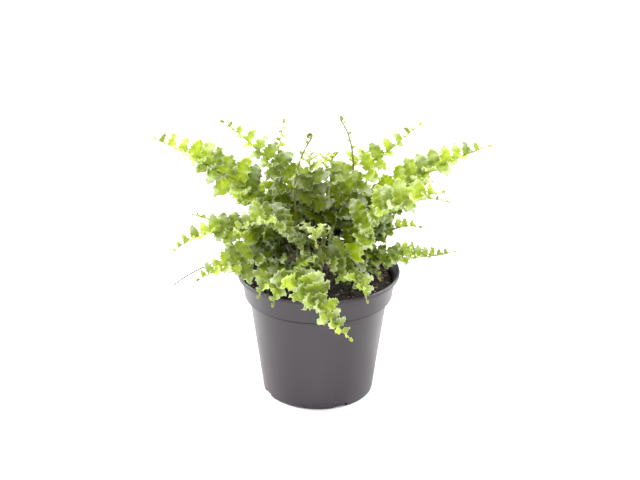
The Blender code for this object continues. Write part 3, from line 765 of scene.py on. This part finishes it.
# %% [markdown]
# ## Where the fronds grow
#
# The solid model lays out each frond from a short table: the way it leans, how far its
# tip reaches and rises, and how its blade rolls. This script can't read the solid
# model's source, so it repeats the table and the rule that turns a row into a curved
# line, and it makes the same random draws. The fine leaflets then lie just where the
# solid ones are, which already clear every other frond.

# %% The frond table, mm and degrees
# azimuth: the way the frond leans, from +X. crown, ring: the plantlet and the distance
# from its middle where the stem stands. reach, rise: how far out and up the tip is.
# lean: the stem's angle from upright. pitch: the tip's angle above level. sweep: the
# sideways bow, to the frond's left. roll: the outer blade's turn about its rib.
# leaflet: the longest leaflet. pairs: leaflet pairs. bare: the share of the spine with
# no leaflets. arch: how far the two ends hold their direction. tip_sweep: the tip's
# own bow, where it isn't the same as sweep. fold: how far both rows of leaflets are
# raised towards each other.
Frond = namedtuple(
    "Frond",
    "name azimuth crown ring reach rise lean pitch sweep roll leaflet pairs bare arch tip_sweep fold",
    defaults=[0.38, None, 0],
)
CROWNS = {
    "main": (0, 0), "side": (37, 1), "edge": (28, -9), "right": (25, 11),
    "left": (-14, 8), "back": (22, 23), "behind": (-24, 28),
    "front": (-5, -13), "front_left": (-15, -20), "lace": (23, 4), "lace_low": (27, -2),
}
FROND_ROWS = [
    ("left_high", 172, "main", 11, 109, 102, 22, 24, -5, 30, 33, 12, 0.22),
    ("right_long", 4, "main", 12, 110, 101, 26, 20, 3, -30, 27, 12, 0.26),
    ("right_top", 24, "main", 9, 71, 109, -8, 36, 4, -26, 23, 9, 0.28),
    ("left_top", 150, "main", 7, 75, 107, 5, 30, -8, 20, 24, 9, 0.30),
    ("front_drape", 294, "front", 0, 67, -13, 11, -56, -41, -6, 26, 11, 0.16, 0.52, -25, -4),
    ("right_mid", 340, "main", 9, 83, 81, 28, 15, -3, -38, 32, 10, 0.26),
    ("left_mid", 190, "main", 14, 91, 30, 12, -32, -10, 30, 24, 11, 0.18),
    ("right_low", 346, "main", 20, 80, 32, 34, 22, 0, -16, 15, 10, 0.26),
    ("left_low", 207, "main", 17, 78, 18, 30, -18, -2, 30, 26, 9, 0.16),
    ("rim_left", 246, "front_left", 0, 41, 6, 12, -54, 0, 0, 21, 7, 0.2),
    ("cross", 206, "side", 0, 54, 19, -14, -10, 8, 40, 23, 9, 0.34, 0.5),
    ("front_left", 234, "main", 16, 55, 12, 24, -34, -4, 10, 24, 7, 0.22),
    ("front_right", 303, "main", 16, 47, 7, 10, -40, 4, 0, 19, 7, 0.36),
    ("left_inner", 209, "main", 7, 60, 50, 8, -34, 0, 24, 32, 8, 0.22),
    ("right_fine", 356, "main", 17, 75, 64, 44, -12, 8, -20, 13, 9, 0.34),
    ("lace_high", 357, "lace", 0, 50, 41, 34, -6, 3, -14, 15, 8, 0.28),
    ("lace_low", 352, "lace_low", 0, 50, 27, 38, -4, -3, -10, 15, 8, 0.26),
    ("left_small", 163, "main", 19, 79, 38, 44, 2, 5, 16, 16, 8, 0.34),
    ("top_left", 100, "main", 9, 34, 80, 8, -20, 4, 0, 25, 7, 0.34),
    ("top_mid", 76, "main", 7, 40, 80, 6, -26, -4, 0, 22, 6, 0.36),
    ("top_right", 50, "main", 12, 46, 84, 4, 10, 2, -10, 24, 7, 0.34),
    ("back_young", 100, "behind", 0, 14, 107, 30, 76, 10, 10, 12, 8, 0.44),
    ("centre", 268, "main", 8, 38, 46, 6, -44, -3, 0, 24, 7, 0.22),
    ("edge", 322, "edge", 0, 20, 10, 10, -34, 4, 0, 11, 5, 0.34),
    ("rim", 352, "right", 0, 34, 13, 10, -20, 4, -24, 14, 6, 0.36),
    ("back_right", 30, "main", 17, 80, 58, 32, 0, -6, -8, 27, 8, 0.2),
    ("back_far", 58, "main", 18, 76, 40, 32, -20, 4, -6, 26, 8, 0.2),
    ("back_mid", 88, "main", 15, 86, 58, 22, -6, -5, 0, 28, 8, 0.2),
    ("back_low", 112, "main", 18, 76, 34, 34, -24, 4, 6, 26, 8, 0.2),
    ("back_left", 146, "main", 20, 81, 60, 30, -4, -6, 8, 27, 8, 0.2),
    ("young_left", 20, "left", 0, 9, 106, 2, 54, 0, 0, 3.8, 6, 0.5),
    ("young_right", 110, "back", 0, 18, 109, 15, 14, -3, 0, 4.6, 5, 0.56),
]
FRONDS = [Frond("frond_" + row[0], *row[1:]) for row in FROND_ROWS]
CURLED = {"frond_young_left": 1.1, "frond_young_right": 0.9}
CURL_RADIUS = 2.3
CURL_STEPS = 40
RUNNER = Frond("runner", 197, "main", 21, 88, 8, 30, -30, -6, 0, 0, 0, 1.0)
RUNNER_HALF = 0.4
STEM_NECK = 1.2
STEM_BURIED = 12.0
SPINE_SAMPLES = 160
ROLLED_SHARE = 0.6

# %% The curved line of a frond


def bezier(controls, t):
    points = controls
    while len(points) > 1:
        points = [a.lerp(b, t) for a, b in zip(points, points[1:])]
    return points[0]


def swung(one, other, angle):
    """A direction turned by an angle towards another, which is square to it."""
    return one * math.cos(angle) + other * math.sin(angle)


class Spine:
    """The line that a frond's rib follows, read by the distance along it."""

    def __init__(self, frond):
        turn = math.radians(frond.azimuth)
        out = Vector((math.cos(turn), math.sin(turn), 0))
        self.side = Vector((-out.y, out.x, 0))
        crown = Vector((*CROWNS[frond.crown], 0))
        foot = crown + out * frond.ring + UP * (SOIL_TOP + STEM_NECK)
        tip = foot + out * frond.reach + UP * (frond.rise - STEM_NECK)
        handle = (tip - foot).length * frond.arch
        lean, pitch = math.radians(frond.lean), math.radians(frond.pitch)
        bow = self.side * frond.sweep
        tip_bow = bow if frond.tip_sweep is None else self.side * frond.tip_sweep
        start, end = swung(UP, out, lean), swung(out, UP, pitch)
        controls = [foot, foot + start * handle + bow, tip - end * handle + tip_bow, tip]
        self.points = [bezier(controls, i / SPINE_SAMPLES) for i in range(SPINE_SAMPLES + 1)]
        if frond.name in CURLED:
            self.points += self.curl(CURLED[frond.name])
        self.lengths = [0.0]
        for a, b in zip(self.points, self.points[1:]):
            self.lengths.append(self.lengths[-1] + (b - a).length)
        self.length = self.lengths[-1]
        self.foot = foot
        self.roll = math.radians(frond.roll)

    def curl(self, turns):
        """The coiled tip of a young frond, wound towards the frond's upper side."""
        tip, before = self.points[-1], self.points[-2]
        along = (tip - before).normalized()
        inward = along.cross(self.side).normalized()
        centre = tip + inward * CURL_RADIUS
        made = []
        for i in range(1, CURL_STEPS + 1):
            wound = i / CURL_STEPS
            turn = wound * turns * math.tau
            radius = CURL_RADIUS * (1 - wound / 2)
            made.append(centre + (along * math.sin(turn) - inward * math.cos(turn)) * radius)
        return made

    def at(self, distance):
        """(point, along, side, normal) at this distance; the normal is the upper side."""
        distance = min(max(distance, 0), self.length)
        low = 0
        high = len(self.lengths) - 2
        while low < high:
            middle = (low + high + 1) // 2
            if self.lengths[middle] <= distance:
                low = middle
            else:
                high = middle - 1
        step = self.lengths[low + 1] - self.lengths[low]
        share = (distance - self.lengths[low]) / step
        a, b = self.points[low], self.points[low + 1]
        along = (b - a).normalized()
        side = (self.side - along * along.dot(self.side)).normalized()
        normal = along.cross(side)
        roll = self.roll * min(1, distance / self.length / ROLLED_SHARE)
        return a.lerp(b, share), along, swung(side, normal, -roll), swung(normal, side, roll)


SPINES = {frond.name: Spine(frond) for frond in FRONDS}
RUNNER_SPINE = Spine(RUNNER)
LONGEST = max(SPINES.values(), key=lambda spine: spine.length)
print("fronds:", len(SPINES), "- the longest rib, mm:", round(LONGEST.length))

# %% [markdown]
# ## Fitting the leaflets
#
# Leaves in a clump turn aside for each other. The rule for that is the solid model's:
# a leaflet starts at its own length and angle, and while it would cross the pot, the
# soil, another frond or a neighbour it is turned, then shortened. A tree of triangles
# answers quickly whether two shapes cross.

# %% The rule's numbers, mm and degrees
STEM_HALF = 0.8
RIB_TIP_HALF = 0.42
TIP_LENGTH = 3.4
TIP_HALF = 1.1
LEAFLET_HALF = 0.32
LEAFLET_FORWARD = 16.0
LEAFLET_TILT = -21.0
LEAFLET_LIFT = 8.0
TIP_LIFT = 58.0
LEAFLET_ROOM = 0.35
LEAFLET_SHORTEST = 3.6
LEAFLET_WIDEST = 13.0
LENGTH_SPREAD = (0.86, 1.1)
WIDTH_TO_LENGTH = 0.62
WIDTH_TO_PITCH = 1.5
LIFT_SPREAD = (-10, 10)
TILT_SPREAD = (-8, 8)
FORWARD_SPREAD = (-7, 9)
WAVE_SPREAD = (0.06, 0.12)
FIRST_LENGTH = 0.78
LENGTH_RISE = 1.1
TAPER_END = 1.04
TAPER_POWER = 0.65
TWO_ROWS_FROM = 8.5
THREE_ROWS_FROM = 24.0
FIRST_PITCH = 1.25
PITCH_DROP = 0.35
PITCH_REST = 0.5
ROOT_TO_PITCH = 0.42
ROOT_WIDEST = 4.2
ROOT_START = 0.2
STAGGER = 0.5
DROOP = 0.14
ROW_SHARES = {1: [0.5], 2: [0.34, 0.74], 3: [0.26, 0.54, 0.82]}
ROW_WIDTHS = {1: [1.0], 2: [1.05, 0.72], 3: [1.1, 0.92, 0.68]}
NEIGHBOURS = 8
SMALL_TURNS = (0, 12, -12, 24, -24)
LARGE_TURNS = SMALL_TURNS + (36, -36, 50, -50)
SHORTENINGS = [(1.0, SMALL_TURNS), (0.84, SMALL_TURNS), (0.7, SMALL_TURNS), (0.56, LARGE_TURNS)]
SHORTENINGS += [(0.42, LARGE_TURNS), (0.3, LARGE_TURNS), (0.2, LARGE_TURNS)]
WIDTH_KEPT = 0.15
TUBE_PIECES = 24
LIP_CLEARANCE = 1.0
COLLAR_CLEARANCE = 3.5
SOIL_CLEARANCE = 2.2
SEED = 11

# %% A leaflet's place and its simple blade
Blade = namedtuple("Blade", "root axis across face length width wave rows share")


def leaflet_length(frond, share):
    rising = min(1.0, FIRST_LENGTH + LENGTH_RISE * share)
    return max(LEAFLET_SHORTEST, frond.leaflet * rising * (TAPER_END - share) ** TAPER_POWER)


def leaflet_rows(length):
    if length > THREE_ROWS_FROM:
        return 3
    return 2 if length > TWO_ROWS_FROM else 1


def blade_at(spine, middle, sign, length, width, angles, wave, share):
    """A leaflet's own axes: along it, across it and out of its upper face."""
    lift, tilt, forward = angles
    root, along, side, normal = spine.at(middle)
    axis = swung(swung(side * sign, along, forward), normal, lift)
    across = (along - axis * axis.dot(along)).normalized()
    face = across.cross(axis) if sign > 0 else axis.cross(across)
    across, face = swung(across, face, tilt), swung(face, across, -tilt)
    return Blade(root, axis, across, face, length, width, wave, leaflet_rows(length), share)


def blade_points(blade):
    """The solid leaflet's margin points, near and far in turn, and its tip."""
    points = []
    for row in range(blade.rows):
        share = ROW_SHARES[blade.rows][row]
        half = blade.across * blade.width * 0.5 * ROW_WIDTHS[blade.rows][row]
        middle = blade.root + blade.axis * blade.length * share
        middle -= blade.face * blade.length * DROOP * share ** 2
        swing = blade.face * blade.wave * (1 if row % 2 else -1)
        points += [middle - half + swing, middle + half - swing]
    points.append(blade.root + blade.axis * blade.length - blade.face * blade.length * DROOP)
    return points


def blade_faces(root, outer):
    rungs = [root] + list(zip(outer[:-1:2], outer[1:-1:2]))
    faces = []
    for (near, far), (next_near, next_far) in zip(rungs, rungs[1:]):
        faces += [(near, next_near, far), (next_near, next_far, far)]
    near, far = rungs[-1]
    return faces + [(near, outer[-1], far)]


def blade_shell(roots, blade):
    """The leaflet with some room round it, as points and triangles for a crossing test."""
    points = blade_points(blade)
    half = blade.face * (LEAFLET_HALF + LEAFLET_ROOM)
    middle = roots + points
    verts = [p + half for p in middle] + [p - half for p in middle]
    count = len(middle)
    root, outer = (0, 1), tuple(range(2, count))
    faces = blade_faces(root, outer)
    faces += [tuple(i + count for i in face) for face in blade_faces(root, outer)]
    rim = [root[0], *outer[:-1:2], outer[-1], *outer[1:-1:2][::-1], root[1]]
    for a, b in zip(rim, rim[1:]):
        faces += [(a, b, b + count), (a, b + count, a + count)]
    return points, verts, faces


# %% The clump that a new leaflet has to clear


def in_pot_or_soil(point):
    radius = math.hypot(point.x, point.y)
    if point.z > POT_HEIGHT + LIP_CLEARANCE:
        return False
    if radius < LIP_INNER_RADIUS - COLLAR_CLEARANCE:
        return point.z < SOIL_TOP + SOIL_CLEARANCE
    return radius < LIP_RADIUS + LIP_CLEARANCE


class Crowd:
    """All that a new leaflet has to keep clear of: ribs, and the leaflets laid so far."""

    def __init__(self):
        self.verts = []
        self.faces = []
        self.owners = []
        self.tree = None

    def add(self, verts, faces, owner):
        start = len(self.verts)
        self.verts += verts
        self.faces += [tuple(i + start for i in face) for face in faces]
        self.owners += [owner] * len(faces)

    def freeze(self):
        self.tree = BVHTree.FromPolygons(self.verts, self.faces)

    def touches(self, tree, owner):
        return any(self.owners[mine] != owner for mine, _ in self.tree.overlap(tree))


def rib_half(spine, distance, thickest):
    share = distance / spine.length
    return thickest + (min(RIB_TIP_HALF, thickest) - thickest) * share


def rib_edge(spine, distance, sign, thickest):
    """(the rib's edge on one side, its upper normal, its half-thickness)."""
    point, _, side, normal = spine.at(distance)
    half = rib_half(spine, distance, thickest)
    return point + side * sign * half, normal, half


def tube_shell(spine, thickest):
    """A rib and its tip with room round them, for the crossing test."""
    verts, faces = [], []
    for i in range(TUBE_PIECES + 1):
        for sign in (1, -1):
            distance = spine.length * i / TUBE_PIECES
            edge, normal, half = rib_edge(spine, distance, sign, thickest + LEAFLET_ROOM)
            verts += [edge + normal * half, edge - normal * half]
    point, along, side, normal = spine.at(spine.length)
    end = point + along * (TIP_LENGTH + LEAFLET_ROOM)
    wide, deep = side * (TIP_HALF + LEAFLET_ROOM), normal * (RIB_TIP_HALF + LEAFLET_ROOM)
    verts += [end + wide * s + deep * n for s in (1, -1) for n in (1, -1)]
    for i in range(TUBE_PIECES + 1):
        a, b = i * 4, i * 4 + 4
        for u, v in ((0, 2), (2, 3), (3, 1), (1, 0)):
            faces += [(a + u, a + v, b + v), (a + u, b + v, b + u)]
    return verts, faces


# %% Fit every leaflet of every frond


def stations(frond, spine):
    """The stretch of rib and the pitch of each pair of leaflets."""
    start = spine.length * frond.bare
    weights = [FIRST_PITCH - PITCH_DROP * k / (frond.pairs - 1) for k in range(frond.pairs)]
    scale = (spine.length - start) / (sum(weights) + PITCH_REST)
    cuts, place = [], start
    for weight in weights:
        pitch = weight * scale
        near = place + pitch * ROOT_START
        cuts.append((near, near + min(pitch * ROOT_TO_PITCH, ROOT_WIDEST), pitch))
        place += pitch
    return cuts


def fitted_blade(frond, spine, crowd, own, roots, middle, share, sign, size, chance):
    """Turns or shortens a leaflet until it clears all round it, or no choice is left."""
    length, width = size
    lift = math.radians(LEAFLET_LIFT + frond.fold + TIP_LIFT * share ** 2 + chance.uniform(*LIFT_SPREAD))
    tilt = math.radians(LEAFLET_TILT + chance.uniform(*TILT_SPREAD))
    forward = math.radians(LEAFLET_FORWARD + chance.uniform(*FORWARD_SPREAD))
    wave = width * chance.uniform(*WAVE_SPREAD)
    for part, turns in SHORTENINGS:
        for turn in turns:
            angles = (lift + math.radians(turn), tilt, forward)
            narrow = width * min(1, part + WIDTH_KEPT)
            blade = blade_at(spine, middle, sign, length * part, narrow, angles, wave * part, share)
            points, verts, faces = blade_shell(roots, blade)
            if any(in_pot_or_soil(p) for p in points):
                continue
            tree = BVHTree.FromPolygons(verts, faces)
            if not crowd.touches(tree, frond.name) and not any(
                tree.overlap(other) for other in own[-NEIGHBOURS:]
            ):
                own.append(tree)
                return blade, verts, faces
    return blade, verts, faces


def fit_frond(frond, spine, crowd, chance):
    own, laid, blades = [], [], []
    blade_start = spine.length * frond.bare
    for near, far, pitch in stations(frond, spine):
        for sign, shift in ((1, 0), (-1, pitch * STAGGER)):
            middle = (near + far) / 2 + shift
            share = (middle - blade_start) / (spine.length - blade_start)
            length = leaflet_length(frond, share) * chance.uniform(*LENGTH_SPREAD)
            size = (length, min(length * WIDTH_TO_LENGTH, pitch * WIDTH_TO_PITCH, LEAFLET_WIDEST))
            roots = [rib_edge(spine, place + shift, sign, STEM_HALF)[0] for place in (near, far)]
            blade, verts, faces = fitted_blade(
                frond, spine, crowd, own, roots, middle, share, sign, size, chance
            )
            blades.append(blade)
            laid.append((verts, faces))
    for verts, faces in laid:
        crowd.add(verts, faces, frond.name)
    crowd.freeze()
    return blades


def fit_all():
    crowd = Crowd()
    for name, spine in SPINES.items():
        crowd.add(*tube_shell(spine, STEM_HALF), name)
    crowd.add(*tube_shell(RUNNER_SPINE, RUNNER_HALF), "runner")
    crowd.freeze()
    chance = random.Random(SEED)
    return {frond.name: fit_frond(frond, SPINES[frond.name], crowd, chance) for frond in FRONDS}


BLADES = fit_all()
print("leaflets:", sum(len(blades) for blades in BLADES.values()))

# %% [markdown]
# ## A ruffled leaflet
#
# This is what gives the plant its name. A real leaflet grows more edge than its length
# can hold flat, so the edge ruffles up and down, and it is cut into small teeth all
# round. Each one starts as a plain grid. A formula then bends every point of the grid:
# an outline narrows it, a fold raises both halves along the midrib, waves grow towards
# the edge, and every second point of the edge is pulled in as a tooth. An extrusion
# that keeps the first sheet then gives it its thickness.

# %% The leaflet's numbers, mm
COLUMN_STEP = 1.0
FEWEST_COLUMNS = 4
MOST_COLUMNS = 28
ROWS_ACROSS = 4
LEAF_THICKNESS = 0.28
STALK_SHARE = 0.2
BASE_SHARE = 0.16
OUTLINE_START = 1.22
OUTLINE_DROP = 0.4
ROUND_FROM = 0.58
ROUND_POWER = 0.56
BLUNT_TIP = 0.16
END_EASE = 0.35
TOOTH_DEPTH = 0.72
TOOTH_TO_WIDTH = 0.09
TOOTH_POWER = 4
EDGE_POWERS = (3, 6)
FOLD = 0.34
RUFFLE_LENGTH = 5.2
RUFFLE_HEIGHT = 0.2
RUFFLE_GROWTH = 1.5
RUFFLE_SLIDE = 0.15
RUFFLE_LAG = 0.6 * math.pi
TWIST_SPREAD = 0.5
# Painted shade deep in the clump: how high above the soil and how far out from a middle set back behind
# the axis it reaches, and how strong it is. Fronds at the front get only a share of it.
DEEP_RADIUS = 60.0
DEEP_HEIGHT = 78.0
DEEP_BEHIND = 14.0
DEEP_SHARE = 1.8
FORWARD_FRONDS = {"frond_cross", "frond_front_drape", "frond_rim_left", "frond_edge", "frond_rim"}
FORWARD_DEPTH = 0.2

# %% Bend a grid into a leaflet


def outline(run):
    """Half-width of a leaflet as a share of its widest, from stalk (0) to tip (1)."""
    widening = min(1.0, run / BASE_SHARE)
    body = (STALK_SHARE + (1 - STALK_SHARE) * math.sin(widening * math.pi / 2))
    body *= OUTLINE_START - OUTLINE_DROP * run
    rounding = max(0.0, (run - ROUND_FROM) / (1 - ROUND_FROM))
    return body * max(BLUNT_TIP, (1 - min(1.0, rounding) ** 2) ** ROUND_POWER)


def leaf_depth(point):
    """The share of painted shade: 1 deep in the clump, near the soil and the middle, and 0 on its
    outside.
    """
    low = 1 - (point.z - SOIL_TOP) / DEEP_HEIGHT
    inner = 1 - math.hypot(point.x, point.y - DEEP_BEHIND) / DEEP_RADIUS
    return min(1.0, max(0.0, low) * max(0.0, inner) * DEEP_SHARE)


def bend_point(blade, run, side, tooth, ruffle):
    """Where a point of the flat grid lies on the ruffled leaflet."""
    waves, phase, twist, hand = ruffle
    margin = abs(side)
    eased = run + (run * run * (3 - 2 * run) - run) * END_EASE
    half = blade.width * 0.5 * outline(eased) + tooth * margin ** TOOTH_POWER
    swing = math.tau * waves * eased + phase + (RUFFLE_LAG if side > 0 else 0)
    height = blade.width * RUFFLE_HEIGHT * margin ** RUFFLE_GROWTH
    up = height * math.sin(swing) + half * margin * FOLD
    across = swung(blade.across, blade.face, twist * run)
    face = swung(blade.face, blade.across, -twist * run)
    place = blade.root + blade.axis * (blade.length * eased + height * RUFFLE_SLIDE * math.cos(swing))
    place -= blade.face * blade.length * DROOP * run ** 2
    return place + across * side * half * hand + face * up


def add_leaflet(bm, layers, blade, depth_share, chance):
    columns = 2 * round(min(max(blade.length / COLUMN_STEP, FEWEST_COLUMNS), MOST_COLUMNS) / 2)
    made = bmesh.ops.create_grid(
        bm, x_segments=columns, y_segments=ROWS_ACROSS, size=1.0, calc_uvs=True,
    )["verts"]
    ruffle = (
        max(1, round(blade.length / RUFFLE_LENGTH)),
        chance.uniform(0, math.tau),
        chance.uniform(-TWIST_SPREAD, TWIST_SPREAD),
        1 if blade.axis.cross(blade.across).dot(blade.face) > 0 else -1,
    )
    tone = chance.random()
    # Painted shade, by how deep the leaflet's middle lies in the clump.
    depth = leaf_depth(blade.root + blade.axis * blade.length * 0.5) * depth_share
    depth_of_tooth = min(TOOTH_DEPTH, blade.width * TOOTH_TO_WIDTH)
    for vert in made:
        run, side = (vert.co.x + 1) / 2, vert.co.y
        column = round(run * columns)
        tooth = depth_of_tooth * (1 if column % 2 else -1)
        vert.co = bend_point(blade, run, side, tooth, ruffle)
        # How near the edges and the tip a point is; the finish paints a pale rim light there.
        edge = max(abs(side) ** EDGE_POWERS[0], run ** EDGE_POWERS[1])
        for layer, value in zip(layers.values(), (tone, edge, blade.share, depth)):
            vert[layer] = value


# %% [markdown]
# ## The rib, swept along its line
#
# A rib is a thin rod that tapers along a curve. One ring of points is extruded from
# station to station, and each new ring is carried on by the step from one station's
# frame to the next, which holds its turn and its thinning in one matrix.

# %% Sweep a rod
RIB_SIDES = 8
RIB_STEP = 4.0
CURL_STEP = 0.9
RIB_FULLNESS = 0.92
YOUNG_FULLNESS = 1.3
RUNNER_FULLNESS = 1.25
LEAF_SEED = 29


def frame_at(point, side, normal, along, radius):
    turn = Matrix((side, normal, along)).transposed().to_4x4()
    return Matrix.Translation(point) @ turn @ Matrix.Diagonal((radius, radius, 1, 1))


def rib_frames(spine, thickest, step, fullness):
    """Frames from the buried foot of a stem to the end of its rib, with their shares."""
    _, _, side, normal = spine.at(0)
    flat = Vector((normal.x, normal.y, 0)).normalized()
    level = UP.cross(flat).normalized()
    radius = thickest * fullness
    below = spine.foot - UP * (STEM_NECK + STEM_BURIED)
    frames = [(frame_at(below, flat, level, UP, radius), 0.0)]
    frames.append((frame_at(spine.foot - UP * STEM_NECK, flat, level, UP, radius), 0.0))
    count = max(2, round(spine.length / step))
    for i in range(1, count + 1):
        distance = spine.length * i / count
        point, along, side, normal = spine.at(distance)
        radius = rib_half(spine, distance, thickest) * fullness
        frames.append((frame_at(point, normal, along.cross(normal), along, radius), i / count))
    return frames


def edges_of(ring):
    """The edges that join the points of a ring."""
    return list({edge for vert in ring for edge in vert.link_edges if edge.other_vert(vert) in ring})


def sweep_rod(bm, age_layer, frames, material_index):
    first, share = frames[0]
    ring = bmesh.ops.create_circle(
        bm, segments=RIB_SIDES, radius=1.0, cap_ends=True, matrix=first,
    )["verts"]
    faces = {face for vert in ring for face in vert.link_faces}
    for vert in ring:
        vert[age_layer] = share
    before = first
    for after, share in frames[1:]:
        geometry = bmesh.ops.extrude_edge_only(bm, edges=edges_of(ring))["geom"]
        ring = [item for item in geometry if isinstance(item, bmesh.types.BMVert)]
        faces.update(item for item in geometry if isinstance(item, bmesh.types.BMFace))
        bmesh.ops.transform(bm, matrix=after @ before.inverted(), verts=ring)
        for vert in ring:
            vert[age_layer] = share
        before = after
    faces.update(bmesh.ops.contextual_create(bm, geom=edges_of(ring))["faces"])
    bmesh.ops.recalc_face_normals(bm, faces=list(faces))
    for face in faces:
        face.material_index = material_index


# %% [markdown]
# ## Put the fronds together
#
# One piece for each frond: its leaflets, a last small one at the tip and its rib. The
# tip of a young frond is a bare curl.
# The leaflets are thickened before the rib is added, because the rib is closed already.

# %% Build every frond
TIP_SUNK = 0.4
TIP_WIDTH = 2.2 * TIP_HALF
TIP_WAVE = 0.1


def thicken(bm, upper_layer):
    """Gives every sheet a second face, one leaf's thickness above the first."""
    bm.normal_update()
    upper = bmesh.ops.extrude_face_region(bm, geom=list(bm.faces), use_keep_orig=True)["geom"]
    for item in upper:
        if isinstance(item, bmesh.types.BMVert):
            item.co += item.normal * LEAF_THICKNESS
            item[upper_layer] = 1.0
    bmesh.ops.recalc_face_normals(bm, faces=list(bm.faces))


def tip_blade(spine):
    point, along, side, normal = spine.at(spine.length)
    root = point - along * TIP_SUNK
    return Blade(root, along, side, normal, TIP_LENGTH, TIP_WIDTH, TIP_WAVE, 1, 1.0)


def build_frond(frond, chance):
    spine = SPINES[frond.name]
    young = frond.name in CURLED
    bm = bmesh.new()
    bm.loops.layers.uv.new("leaf_uv")
    layers = {name: bm.verts.layers.float.new(name) for name in LEAF_VALUES}
    blades = BLADES[frond.name] + ([] if young else [tip_blade(spine)])
    # Fronds at the front get less painted shade.
    depth_share = FORWARD_DEPTH if frond.name in FORWARD_FRONDS else 1.0
    for blade in blades:
        add_leaflet(bm, layers, blade, depth_share, chance)
    thicken(bm, layers["leaf_upper"])
    step, fullness = (CURL_STEP, YOUNG_FULLNESS) if young else (RIB_STEP, RIB_FULLNESS)
    sweep_rod(bm, layers["leaf_age"], rib_frames(spine, STEM_HALF, step, fullness), 1)
    mesh = mesh_from(frond.name, bm, [FERN_LEAF, YOUNG_RIB if young else FERN_RIB])
    mesh.shade_smooth()
    return finish_piece(frond.name.replace("frond", "ruffled"), mesh, [frond.name])


def build_runner():
    bm = bmesh.new()
    age = bm.verts.layers.float.new("leaf_age")
    sweep_rod(bm, age, rib_frames(RUNNER_SPINE, RUNNER_HALF, RIB_STEP, RUNNER_FULLNESS), 0)
    mesh = mesh_from("wiry_runner", bm, [RUNNER_SKIN])
    mesh.shade_smooth()
    finish_piece("wiry_runner", mesh, ["runner"])


LEAF_CHANCE = random.Random(LEAF_SEED)
FINE_FRONDS = [build_frond(frond, LEAF_CHANCE) for frond in FRONDS]
build_runner()
print("fine fronds:", len(FINE_FRONDS))

# %% [markdown]
# ## Finish
#
# The scene is brought up to date at the end. The fine plant has to stay inside the
# solid model's box, give or take what leaves may stand proud.

# %% Finish
bpy.context.view_layer.update()
